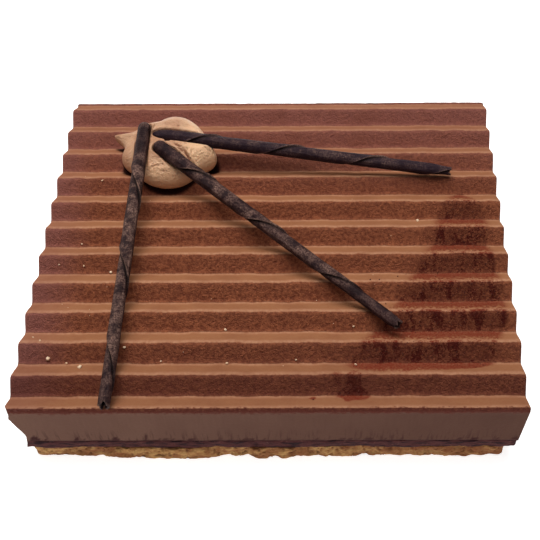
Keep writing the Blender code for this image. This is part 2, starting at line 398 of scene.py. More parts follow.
def new_group(name: str, inputs: dict[str, float], outputs: tuple[str, ...]) -> tuple:
    """An empty shader group.

    Args:
        name: the group's name.
        inputs: its number inputs and their first values.
        outputs: its number outputs.

    Returns:
        The group, its node helper, its input sockets by name and its output node.
    """
    group = bpy.data.node_groups.new(name, "ShaderNodeTree")
    for label, value in inputs.items():
        socket = group.interface.new_socket(label, in_out="INPUT", socket_type="NodeSocketFloat")
        socket.default_value = value
    for label in outputs:
        group.interface.new_socket(label, in_out="OUTPUT", socket_type="NodeSocketFloat")
    start = group.nodes.new("NodeGroupInput")
    end = group.nodes.new("NodeGroupOutput")
    return group, Nodes(group), {socket.name: socket for socket in start.outputs}, end


def grain_group() -> bpy.types.NodeTree:
    """Grain: fine lumps on coarser lumps, each from noise of a given size.

    Height = (1 - share) x coarse + share x fine; the mask is the height with its middle
    stretched to reach from 0 to 1.
    """
    group, nodes, given, end = new_group("grain", {"Size": 0.001, "Fine share": 0.4},
                                         ("Height", "Mask"))
    scale = nodes.maths("DIVIDE", 1.0, given["Size"])
    place = nodes.place()
    coarse = nodes.add("TexNoise", {"Vector": place, "Scale": scale, "Detail": 1.0}).outputs["Fac"]
    fine = nodes.add("TexNoise", {"Vector": place, "Scale": nodes.times(scale, 2.7),
                                  "Detail": 2.0}).outputs["Fac"]
    rest = nodes.maths("SUBTRACT", 1.0, given["Fine share"])
    height = nodes.plus(nodes.times(coarse, rest), nodes.times(fine, given["Fine share"]))
    group.links.new(height, end.inputs["Height"])
    group.links.new(nodes.between(height, 0.36, 0.64), end.inputs["Mask"])
    return group


def speck_group() -> bpy.types.NodeTree:
    """Specks: small round spots in some of the cells of a pattern.

    A spot is where the distance to the cell's own point is under a third of the cell, and the
    cell's random value is over 1 - share.
    """
    group, nodes, given, end = new_group("specks", {"Size": 0.002, "Share": 0.2}, ("Mask",))
    scale = nodes.maths("DIVIDE", 1.0, given["Size"])
    cells = nodes.add("TexVoronoi", {"Vector": nodes.place(), "Scale": scale})
    red = nodes.add("SeparateColor", {"Color": cells.outputs["Color"]}).outputs[0]
    chosen = nodes.maths("GREATER_THAN", red, nodes.maths("SUBTRACT", 1.0, given["Share"]))
    spot = nodes.between(cells.outputs["Distance"], 0.3, 0.16)
    group.links.new(nodes.times(chosen, spot), end.inputs["Mask"])
    return group


@dataclass
class Kit:
    """The shader groups that more than one finish uses.

    Attributes:
        grain: fine lumps on coarser ones.
        specks: small round spots.
    """

    grain: bpy.types.NodeTree = field(default_factory=grain_group)
    specks: bpy.types.NodeTree = field(default_factory=speck_group)

    def use(self, nodes: Nodes, group: bpy.types.NodeTree,
            **inputs: float) -> bpy.types.Node:
        """Place a group in a material with its own values; _ in a name stands for a space.

        Args:
            nodes: the material's node helper.
            group: the group.
            inputs: values for its inputs.

        Returns:
            The group's node.
        """
        node = nodes.add("Group", node_tree=group)
        for name, value in inputs.items():
            node.inputs[name.replace("_", " ")].default_value = value
        return node


def start_material(name: str) -> tuple[bpy.types.Material, Nodes, bpy.types.Node]:
    """A new material with its node helper and its Principled shader."""
    material = bpy.data.materials.new(name)
    material.use_nodes = True
    return material, Nodes(material.node_tree), material.node_tree.nodes["Principled BSDF"]


def join(nodes: Nodes, shader: bpy.types.Node, sockets: dict[str, Socket],
         plain: dict[str, float | tuple]) -> None:
    """Link the changing sockets of a shader and set its plain ones.

    Args:
        nodes: the material's node helper.
        shader: the shader.
        sockets: what each changing input is linked to.
        plain: values for the other inputs.
    """
    for name, socket in sockets.items():
        nodes.tree.links.new(socket, shader.inputs[name])
    for name, value in plain.items():
        shader.inputs[name].default_value = value


@dataclass(frozen=True)
class VelvetFinish:
    """Cocoa velvet on the ridges with painted light and shade, bare mousse on the cuts, dark powder
    on the right.

    Attributes:
        lit: painted light: colour of the smooth slopes that fall to the back.
        painted_highlight: painted highlight along the crests and the valleys of the smooth slopes.
        shaded: painted shade: the same velvet on the grainy slopes that face the front.
        grain_low: colour of the hollows between their grains.
        side: cooler tint towards the left edge, and painted light and shade towards the back.
        near: painted shade that darkens the slopes towards the front.
        rim: colour of the velvet that wraps over the edges of the cuts.
        cut: colour of the cut mousse.
        cut_left: its paler colour towards the left.
        dark: colour of the dark layer where it is smeared up into the mousse.
        powder_lit: the powder on the smooth slopes, in painted light.
        powder_shaded: the same powder on the grainy slopes, in painted shade.
        painted_contact_shadow: painted contact shadow on the velvet round the dollop's foot.
        grain_size: size of the velvet's lumps.
        finger: width of the powder's streaks.
    """

    lit: Colour = rgb(155, 105, 73)
    painted_highlight: Colour = rgb(184, 134, 104)
    shaded: Colour = rgb(148, 88, 61)
    grain_low: Colour = rgb(112, 62, 45)
    side: Colour = rgb(138, 87, 80)
    near: Colour = rgb(80, 41, 38)
    rim: Colour = rgb(94, 48, 39)
    cut: Colour = rgb(95, 65, 54)
    cut_left: Colour = rgb(112, 81, 68)
    dark: Colour = rgb(62, 32, 30)
    powder_lit: Colour = rgb(112, 44, 30)
    powder_shaded: Colour = rgb(66, 20, 17)
    painted_contact_shadow: Colour = rgb(34, 15, 13)
    grain_size: float = 0.0015
    finger: float = 0.0042

    def velvet(self, nodes: Nodes, kit: Kit, grain: bpy.types.Node) -> Socket:
        """Colour of the velvet with its powder.

        The painted values are slope (1 lit, -1 shaded), rise (1 crest, 0 valley), side and
        powder.  The slope paints one velvet lit or shaded, with a painted highlight near the
        crests and valleys.

        Args:
            nodes: the material's node helper.
            kit: the shared shader groups.
            grain: the velvet's grain.

        Returns:
            The colour.
        """
        slope, rise = nodes.painted("slope"), nodes.painted("rise")
        powder = nodes.painted("powder")
        broad = nodes.noise(nodes.place(), 0.013, 3.0)
        streak = nodes.noise(nodes.place((1.0, 0.10, 0.10)), 0.0023, 3.0, 0.6)
        fuzz = nodes.noise(nodes.place(), 0.0013, 2.0)
        on_lit = nodes.between(nodes.plus(slope, fuzz), 0.0, 1.0)
        # painted shade: the slopes that face the front take the shaded copy of the velvet
        grainy = nodes.mix(grain.outputs["Mask"], self.grain_low, self.shaded)
        grainy = nodes.mix(nodes.painted("side"), grainy, self.side)
        # places the painted highlight near the crests and the valleys
        highlight_share = nodes.most(nodes.between(rise, 0.24, 0.04, 0.0, 0.8),
                               nodes.between(rise, 0.70, 0.96))
        uneven = nodes.between(streak, 0.25, 0.75, 0.55, 1.0)
        # painted light: the slopes that fall to the back take the lit copy of the velvet
        smooth = nodes.mix(nodes.times(highlight_share, uneven), self.lit, self.painted_highlight)
        smooth = nodes.mix(nodes.between(fuzz, 0.30, 0.62, 0.30, 0.0), smooth, self.shaded)
        smooth = nodes.mix(nodes.times(nodes.painted("side"), 0.35), smooth, self.side)
        velvet = nodes.mix(on_lit, grainy, smooth)
        velvet = nodes.mix(nodes.between(broad, 0.4, 0.72, 0.0, 0.22), velvet, self.grain_low)
        # painted shade, darker towards the front
        front_shade = nodes.times(nodes.between(nodes.axis("Y"), -0.050, -0.088),
                              nodes.between(on_lit, 0.0, 1.0, 0.54, 0.16))
        velvet = nodes.mix(front_shade, velvet, self.near)

        wide = nodes.noise(nodes.place((1.0, 0.4, 0.4)), self.finger, 2.0, 0.5)
        fine = kit.use(nodes, kit.grain, Size=0.0009, Fine_share=0.5).outputs["Mask"]
        fingers = nodes.plus(nodes.times(wide, 0.8), nodes.times(fine, 0.16))
        fingers = nodes.between(fingers, 0.38, 0.60)
        thin = nodes.times(powder, nodes.between(fine, 0.0, 1.0, 0.38, 0.66))
        thick = nodes.times(nodes.between(powder, 0.2, 0.6), fingers)
        on_dark = nodes.most(thin, nodes.times(thick, 0.94))
        solid = nodes.times(nodes.between(powder, 0.84, 0.98, 0.0, 0.92),
                            nodes.between(fine, 0.0, 0.8, 0.66, 1.0))
        on_dark = nodes.most(on_dark, solid)
        low = nodes.between(nodes.plus(rise, nodes.between(fuzz, 0.3, 0.7, -0.22, 0.22)),
                            0.96, 0.46)
        tongue = nodes.times(nodes.between(rise, 0.80, 0.97), thick)
        spread = nodes.times(low, nodes.between(powder, 0.0, 0.75, 0.0, 0.95))
        on_smooth = nodes.most(spread, tongue)
        on_smooth = nodes.times(on_smooth, nodes.between(fine, 0.0, 0.8, 0.70, 1.0))
        # the powder is painted lit or shaded by the slope, like the velvet
        velvet = nodes.mix(nodes.mix_value(on_lit, on_dark, on_smooth), velvet,
                           nodes.mix(on_lit, self.powder_shaded, self.powder_lit))
        return velvet

    def material(self, kit: Kit) -> bpy.types.Material:
        """Build the material.

        Two more painted values are used: edge (millimetres under the crests, and less than
        zero behind the front edge) and smear, which stands for dark chocolate on the walls
        and for painted contact shadow round the dollop's foot on the top.

        Args:
            kit: the shared shader groups.

        Returns:
            The material.
        """
        material, nodes, shader = start_material("velvet mousse")
        slope, edge = nodes.painted("slope"), nodes.painted("edge")
        grain = kit.use(nodes, kit.grain, Size=self.grain_size, Fine_share=0.45)
        velvet = self.velvet(nodes, kit, grain)
        # painted contact shadow round the dollop's foot, where the smear value is set on the top
        velvet = nodes.mix(nodes.painted("smear"), velvet, self.painted_contact_shadow)
        fray = nodes.noise(nodes.place(), 0.0016, 2.0)
        fray = nodes.plus(edge, nodes.between(fray, 0.3, 0.7, -1.0, 1.0))
        velvet = nodes.mix(nodes.between(fray, 0.0, 1.5), velvet, self.rim)

        blades = nodes.noise(nodes.place((1.0, 1.0, 0.10)), 0.0016, 3.0, 0.6)
        broad = nodes.noise(nodes.place((1.0, 1.0, 0.5)), 0.022, 2.0)
        body = nodes.mix(nodes.between(nodes.axis("X"), 0.10, -0.11), self.cut, self.cut_left)
        faint = nodes.plus(nodes.times(broad, 0.6), nodes.times(blades, 0.4))
        body = nodes.mix(nodes.between(faint, 0.38, 0.62, 0.0, 0.14), body, self.dark)
        deep = nodes.times(nodes.between(edge, 15.0, 29.0),
                           nodes.between(blades, 0.52, 0.34, 0.0, 0.55))
        body = nodes.mix(deep, body, self.dark)
        body = nodes.mix(nodes.painted("smear"), body, self.dark)
        ragged = nodes.noise(nodes.place(), 0.0024, 3.0, 0.6)
        reach = nodes.between(ragged, 0.2, 0.8, 3.2, 5.8)
        bare = nodes.between(nodes.maths("SUBTRACT", edge, reach), -2.2, 1.4)
        colour = nodes.mix(bare, velvet, body)

        lumps = nodes.times(grain.outputs["Height"],
                            nodes.between(slope, 0.3, -0.3, 0.22, 1.0))
        lumps = nodes.times(lumps, nodes.between(bare, 0.0, 1.0, 1.0, 0.25))
        normal = nodes.bump(lumps, 0.0016, 0.7)
        normal = nodes.bump(nodes.times(blades, bare), 0.0004, 0.25, normal)
        rough = nodes.between(bare, 0.0, 1.0, 0.92, 0.75)
        join(nodes, shader, {"Base Color": colour, "Normal": normal, "Roughness": rough},
             {"Specular IOR Level": 0.04})
        return material


@dataclass(frozen=True)
class PralineFinish:
    """Dark praline and chocolate, cut with a knife: nearly black brown with crisp bits.

    Attributes:
        body: colour of the cut.
        bits: colour of the crisp bits.
        smear: colour of the smears along the cut.
    """

    body: Colour = rgb(88, 50, 49)
    bits: Colour = rgb(112, 70, 62)
    smear: Colour = rgb(40, 18, 23)

    def material(self, kit: Kit) -> bpy.types.Material:
        """Build the material from two sizes of grain and a few smears along the cut.

        Args:
            kit: the shared shader groups.

        Returns:
            The material.
        """
        material, nodes, shader = start_material("dark praline")
        grain = kit.use(nodes, kit.grain, Size=0.0014, Fine_share=0.5)
        bits = kit.use(nodes, kit.specks, Size=0.0022, Share=0.25)
        smear = nodes.noise(nodes.place((0.25, 0.25, 1.0)), 0.0016, 3.0)
        colour = nodes.mix(nodes.between(smear, 0.4, 0.66), self.body, self.smear)
        colour = nodes.mix(nodes.times(bits.outputs["Mask"], 0.5), colour, self.bits)
        normal = nodes.bump(grain.outputs["Height"], 0.0009, 0.7)
        rough = nodes.between(smear, 0.35, 0.7, 0.8, 0.6)
        join(nodes, shader, {"Base Color": colour, "Normal": normal, "Roughness": rough},
             {"Specular IOR Level": 0.05})
        return material


@dataclass(frozen=True)
class BiscuitFinish:
    """Baked biscuit: golden crumb, darker pores, brown toasted patches and painted shade in the
    pits.

    Attributes:
        crumb: colour between the grains.
        pale: colour of the grains.
        toast: colour of the toasted patches.
        pore: colour of the pores, and of the painted shade in the pits and hollows.
    """

    crumb: Colour = rgb(180, 127, 78)
    pale: Colour = rgb(214, 168, 106)
    toast: Colour = rgb(132, 74, 46)
    pore: Colour = rgb(96, 56, 36)

    def material(self, kit: Kit) -> bpy.types.Material:
        """Build the material, darker to the right, with painted shade in the pits and hollows by
        the pit value.

        Args:
            kit: the shared shader groups.

        Returns:
            The material.
        """
        material, nodes, shader = start_material("baked biscuit")
        grain = kit.use(nodes, kit.grain, Size=0.0026, Fine_share=0.35)
        pores = kit.use(nodes, kit.specks, Size=0.0016, Share=0.12)
        patch = nodes.noise(nodes.place((0.6, 0.6, 1.0)), 0.0085, 3.0, 0.6)
        colour = nodes.mix(grain.outputs["Mask"], self.crumb, self.pale)
        colour = nodes.mix(nodes.between(patch, 0.45, 0.60, 0.24, 0.76), colour, self.toast)
        darker = nodes.between(nodes.axis("X"), 0.02, 0.06, 0.0, 0.32)
        colour = nodes.mix(darker, colour, self.toast)
        # painted shade in the pits and hollows by the pit value, and the pores
        dark = nodes.most(nodes.times(nodes.painted("pit"), 0.8),
                          nodes.times(pores.outputs["Mask"], 0.5))
        colour = nodes.mix(dark, colour, self.pore)
        normal = nodes.bump(grain.outputs["Height"], 0.0014, 0.9)
        join(nodes, shader, {"Base Color": colour, "Normal": normal},
             {"Roughness": 0.9, "Specular IOR Level": 0.1})
        return material


@dataclass(frozen=True)
class CreamFinish:
    """Tan praline cream, smooth and slightly shiny, with painted light and shade.

    Attributes:
        cream: colour of the cream.
        pale: its paler patches.
        lobe: painted light on the right lobe and at the front.
        fold: painted shade in the folds, creases and bubble dents and along the sticks.
    """

    cream: Colour = rgb(184, 134, 100)
    pale: Colour = rgb(200, 155, 122)
    lobe: Colour = rgb(230, 184, 144)
    fold: Colour = rgb(118, 62, 44)

    def material(self, kit: Kit) -> bpy.types.Material:
        """Build the material: painted light on the right and the front, painted shade in the folds.

        Args:
            kit: the shared shader groups.

        Returns:
            The material.
        """
        material, nodes, shader = start_material("praline cream")
        grain = kit.use(nodes, kit.grain, Size=0.0016, Fine_share=0.35)
        broad = nodes.noise(nodes.place(), 0.009, 2.0)
        colour = nodes.mix(nodes.between(broad, 0.35, 0.65), self.cream, self.pale)
        # painted light on the right lobe and at the front
        colour = nodes.mix(nodes.between(nodes.axis("X"), -0.051, -0.040), colour, self.lobe)
        front = nodes.between(nodes.axis("Y"), 0.041, 0.033, 0.0, 0.8)
        colour = nodes.mix(front, colour, self.lobe)
        # painted shade in the folds
        colour = nodes.mix(nodes.painted("fold"), colour, self.fold)
        normal = nodes.bump(grain.outputs["Height"], 0.0012, 0.85)
        join(nodes, shader, {"Base Color": colour, "Normal": normal},
             {"Roughness": 0.42, "Specular IOR Level": 0.30, "Subsurface Weight": 0.08,
              "Subsurface Radius": (0.006, 0.003, 0.0018), "Subsurface Scale": 0.5})
        return material


@dataclass(frozen=True)
class ChocolateFinish:
    """Rolled dark chocolate, dusty in places, with painted light and shade on the roll.

    Attributes:
        body: colour of the chocolate.
        deep: its darker patches.
        bloom: colour of the dust, which is kept to the upper side as painted light.
        lip: colour of the painted highlight on the lips and the broken rims, and of the dust spots.
        cool: cooler colour of a stick in the shade.
        inside: colour of the painted shade in the seam grooves and the hollow ends.
    """

    body: Colour = rgb(50, 27, 31)
    deep: Colour = rgb(26, 12, 17)
    bloom: Colour = rgb(146, 115, 102)
    lip: Colour = rgb(166, 128, 110)
    cool: Colour = rgb(42, 28, 38)
    inside: Colour = (0.008, 0.004, 0.004)

    def material(self, kit: Kit) -> bpy.types.Material:
        """Build the material; its painted values are bloom, lip, hollow, roll and cool.

        Args:
            kit: the shared shader groups.

        Returns:
            The material.
        """
        material, nodes, shader = start_material("dark chocolate")
        grain = kit.use(nodes, kit.grain, Size=0.0008, Fine_share=0.5)
        dust = kit.use(nodes, kit.specks, Size=0.0013, Share=0.3)
        broad = nodes.noise(nodes.place(), 0.006, 3.0, 0.6)
        roll = nodes.painted("roll")
        colour = nodes.mix(nodes.between(broad, 0.3, 0.7), self.deep, self.body)
        colour = nodes.mix(nodes.painted("cool"), colour, self.cool)
        # the dust is kept to the upper side of a stick, so its paleness is partly painted light
        bloom = nodes.times(nodes.painted("bloom"),
                            nodes.between(broad, 0.38, 0.64, 0.10, 1.0))
        cloudy = nodes.times(bloom, nodes.between(grain.outputs["Mask"], 0.0, 1.0, 0.12, 0.85))
        colour = nodes.mix(cloudy, colour, self.bloom)
        spots = nodes.times(dust.outputs["Mask"], bloom)
        colour = nodes.mix(nodes.times(spots, 0.8), colour, self.lip)
        # painted highlight on the lips of the roll and on the broken rims
        frayed = nodes.times(nodes.painted("lip"),
                             nodes.between(grain.outputs["Mask"], 0.2, 0.8, 0.25, 1.0))
        colour = nodes.mix(frayed, colour, self.lip)
        # painted shade in the seam grooves and in the hollow ends
        colour = nodes.mix(nodes.painted("hollow"), colour, self.inside)
        normal = nodes.bump(grain.outputs["Height"], 0.0007, 0.8)
        normal = nodes.bump(roll, 0.0006, 0.6, normal)
        rough = nodes.between(bloom, 0.0, 0.6, 0.40, 0.7)
        join(nodes, shader, {"Base Color": colour, "Normal": normal, "Roughness": rough},
             {"Specular IOR Level": 0.09})
        return material


@dataclass(frozen=True)
class GrainFinish:
    """Loose crumb, flake or powder, mottled from grain to grain.

    Attributes:
        name: the material's name.
        colour: one of its colours, and second is the other.
        rough: its roughness.
    """

    name: str
    colour: Colour
    second: Colour
    rough: float = 0.7

    def material(self, kit: Kit) -> bpy.types.Material:
        """Build the material, with its two colours mixed by a coarse grain.

        Args:
            kit: the shared shader groups.

        Returns:
            The material.
        """
        material, nodes, shader = start_material(self.name)
        grain = kit.use(nodes, kit.grain, Size=0.0012, Fine_share=0.4)
        colour = nodes.mix(grain.outputs["Mask"], self.colour, self.second)
        normal = nodes.bump(grain.outputs["Height"], 0.0003, 0.5)
        join(nodes, shader, {"Base Color": colour, "Normal": normal},
             {"Roughness": self.rough, "Specular IOR Level": 0.35})
        return material


# ---------------------------------------------------------------- the cake

@dataclass
class RidgedBlock:
    """The mousse block: ridges across its top, cut walls, and a chip at the front left.

    Attributes:
        width: along the ridges.
        pitch: from crest to crest.
        turns: pitches from the front cut to the back cut.
        depth: of the sharp ridge, before its corners are rounded.
        valley: the valley's place in a pitch.
        rounding: half the window that rounds crests and valleys, in pitches.
        crest: height of the crests.
        underside: height of the block's flat underside.
        side_round: radius of its upper side edges.
        lean: how far the sides run to +X for each metre towards the back.
        shift: Y of the middle between the cuts.
        front_round: how far back the front cut's upper edge is rounded.
        front_fall: how far down it is rounded.
        rows_per_pitch: rows of points in a pitch.
        column_step: distance between two points along the ridges.
        wall_rows: rows of points on the walls.
        wave: unevenness of the crests.
        lump: unevenness of the grainy slopes.
        wander: how far the crests stray to the front and back.
        chip: height, width and length of the chip out of the front left corner.
    """

    width: float = 0.2262
    pitch: float = 0.01662
    turns: float = 11.63
    depth: float = 0.0065
    valley: float = 0.58
    rounding: float = 0.075
    crest: float = 0.0465
    underside: float = 0.0160
    side_round: float = 0.0014
    lean: float = 0.0218
    shift: float = 0.00025
    front_round: float = 0.0012
    front_fall: float = 0.0022
    rows_per_pitch: int = 26
    column_step: float = 0.00105
    wall_rows: int = 20
    wave: float = 0.00014
    lump: float = 0.00014
    wander: float = 0.00030
    chip: tuple[tuple[float, float, float], ...] = (
        (0.0090, 0.0018, 0.0110), (0.0130, 0.0030, 0.0130), (0.0165, 0.0037, 0.0160),
        (0.0220, 0.0043, 0.0160), (0.0300, 0.0023, 0.0120), (0.0375, 0.0008, 0.0050),
        (0.0410, 0.0016, 0.0030), (0.0480, 0.0020, 0.0030))

    @property
    def front(self) -> float:
        """Y of the front cut."""
        return self.shift - 0.5 * self.pitch * self.turns

    @property
    def back(self) -> float:
        """Y of the back cut."""
        return self.front + self.pitch * self.turns

    @property
    def middle(self) -> float:
        """Y halfway between the two cuts."""
        return 0.5 * (self.front + self.back)

    def drop(self, y: Array) -> Array:
        """Depth of the ridged top under the crests at Y.

        A sharp ridge falls evenly to its valley and rises evenly to the next crest; its
        height is averaged over a short window of the phase.

        Args:
            y: Y of the places.

        Returns:
            The depth at each place.
        """
        turns = (np.asarray(y) - self.front) / self.pitch

        def sharp(value: Array) -> Array:
            """Depth of the sharp ridge at a number of pitches."""
            phase = np.mod(value, 1.0)
            return self.depth * np.minimum(phase / self.valley,
                                           (1.0 - phase) / (1.0 - self.valley))

        shifts = np.linspace(-self.rounding, self.rounding, 9)
        depth = np.mean([sharp(turns + shift) for shift in shifts], axis=0)
        return depth - np.mean([sharp(np.array(shift)) for shift in shifts])

    def slope(self, y: Array) -> Array:
        """1 on the slopes that fall to the back, -1 on those that face the front.

        Args:
            y: Y of the places.

        Returns:
            A value from -1 to 1 for each place.
        """
        near = 0.03 * self.pitch
        change = (self.drop(y + near) - self.drop(y - near)) / (2.0 * near)
        away = (y - self.front) / self.front_round
        return np.clip(change / 0.45, -1.0, 1.0) * step(away, 0.3, 0.8) - step(-away, -0.8, -0.3)

    def edge_fall(self, y: Array) -> Array:
        """How far the rounded front edge lies under the top: a quarter ellipse."""
        near = np.clip(1.0 - (y - self.front) / self.front_round, 0.0, 1.0)
        return self.front_fall * (1.0 - np.sqrt(1.0 - near ** 2))

    def strayed(self, x: Array, y: Array) -> Array:
        """Y at which the even ridges are read for a place, so that the crests stray a little."""
        ends = band(y, self.front + 0.001, self.front + 0.004, self.back - 0.004,
                    self.back - 0.001)
        return y + self.wander * ends * noise(places(x, 0.5 * y, 0.0), 0.0060, 7, 3)

    def height(self, x: Array, y: Array) -> Array:
        """Height of the ridged top with its slight waves and lumps.

        Args:
            x: X of the places.
            y: Y of the places.

        Returns:
            The height at each place.
        """
        here = places(x, y, 0.0)
        y = self.strayed(x, y)
        stretched = here * np.array([0.35, 1.0, 1.0])
        wave = self.wave * noise(stretched, 0.006, 3, 2)
        lump = self.lump * noise(here, 0.0026, 5, 2) * (0.2 + 0.8 * step(-self.slope(y), -0.2, 0.6))
        return self.crest - self.drop(y) - self.edge_fall(y) - 1.6 * self.wave + wave + lump

    def side_place(self, y: Array, z: Array, side: int) -> Array:
        """X of the left (-1) or right (1) wall at a place, with the chip taken off the left.

        Args:
            y: Y of the places.
            z: their heights.
            side: -1 for the left wall, 1 for the right one.

        Returns:
            X of the wall at each place.
        """
        x = side * 0.5 * self.width + self.lean * (y - self.middle)
        if side > 0:
            return x
        heights, widths, lengths = np.array(self.chip).T
        share = np.clip(1.0 - (y - self.front) / np.interp(z, heights, lengths), 0.0, 1.0)
        rough = 0.00030 * noise(places(0.0, y, z), 0.0035, 11, 2)
        return x + share * (np.interp(z, heights, widths) + rough)

    def columns(self) -> tuple[Array, Array]:
        """Shares of the width at which the top has a column, with the edge's drop there.

        Returns:
            Each column's share of the width, and how far it lies under the top.
        """
        angles = np.linspace(0.0, 0.5 * math.pi, 6)
        away = self.side_round * (1.0 - np.cos(angles)) / self.width
        fall = self.side_round * (1.0 - np.sin(angles))
        count = round((self.width - 2.0 * self.side_round) / self.column_step)
        inner = np.linspace(away[-1], 1.0 - away[-1], count + 1)[1:-1]
        shares = np.concatenate([away, inner, 1.0 - away[::-1]])
        return shares, np.concatenate([fall, np.zeros(len(inner)), fall[::-1]])

    def across(self, share: Array, y: Array, z: Array) -> Array:
        """X at a share of the width between the two walls."""
        left, right = self.side_place(y, z, -1), self.side_place(y, z, 1)
        return left + (right - left) * share


@dataclass
class PowderPatch:
    """Where dark cocoa powder lies on the ridges.

    Attributes:
        rows: Y of the places at which the patch's left and right limits are known.
        left: X of the left limit there.
        right: X of the right limit there.
        drops: centre, both radii and thickness of the single spots; the last one, in front of the
            dollop's right lobe, is painted shade laid as dark powder.
    """

    rows: tuple[float, ...] = (-0.0770, -0.0745, -0.0718, -0.0667, -0.0600, -0.0500, -0.0385,
                               -0.0240, -0.0060, 0.0130, 0.0276)
    left: tuple[float, ...] = (0.042, 0.035, 0.033, 0.037, 0.041, 0.051, 0.057, 0.065, 0.076,
                               0.081, 0.090)
    right: tuple[float, ...] = (0.064, 0.092, 0.099, 0.100, 0.103, 0.108, 0.109, 0.1075, 0.105,
                                0.106, 0.098)
    drops: tuple[tuple[float, ...], ...] = (
        (0.0360, -0.0808, 0.0042, 0.0046, 0.95), (0.0350, -0.0866, 0.0066, 0.0044, 1.2),
        (0.0285, -0.0808, 0.0030, 0.0042, 0.45), (0.0179, -0.0884, 0.0018, 0.0012, 0.8),
        (0.0570, -0.0525, 0.0085, 0.0030, 1.0), (0.0500, -0.0545, 0.0040, 0.0022, 0.8),
        # the last spot is painted shade in front of the dollop's right lobe, laid as dark powder
        (-0.0340, 0.0385, 0.0040, 0.0050, 0.9))

    def cover(self, x: Array, y: Array) -> Array:
        """How thick the powder lies, from 0 to 1.

        Inside the limits it is 0.78, more in the middle of the rows at the back, and falls off
        smoothly past them; a spot is a smooth step of the distance to its centre, measured in
        its radii, with some noise.

        Args:
            x: X of the places.
            y: Y of the places.

        Returns:
            The thickness at each place.
        """
        left = np.interp(y, self.rows, self.left)
        right = np.interp(y, self.rows, self.right)
        inside = band(x, left - 0.005, left + 0.006, right - 0.004, right + 0.003)
        ends = band(y, self.rows[0] - 0.003, self.rows[0] + 0.002,
                    self.rows[-1] - 0.002, self.rows[-1] + 0.006)
        half = 0.5 * (right - left)
        middle = step(-np.abs(x - left - half), -half, -0.3 * half) * step(y, -0.055, -0.035)
        total = (0.78 + 0.13 * middle) * inside * ends
        ragged = 0.30 * noise(places(x, y, 0.0), 0.0030, 81, 2)
        for centre_x, centre_y, wide, deep, thick in self.drops:
            away = np.hypot((x - centre_x) / wide, (y - centre_y) / deep) + ragged
            total = np.maximum(total, thick * step(-away, -1.2, -0.5))
        return total


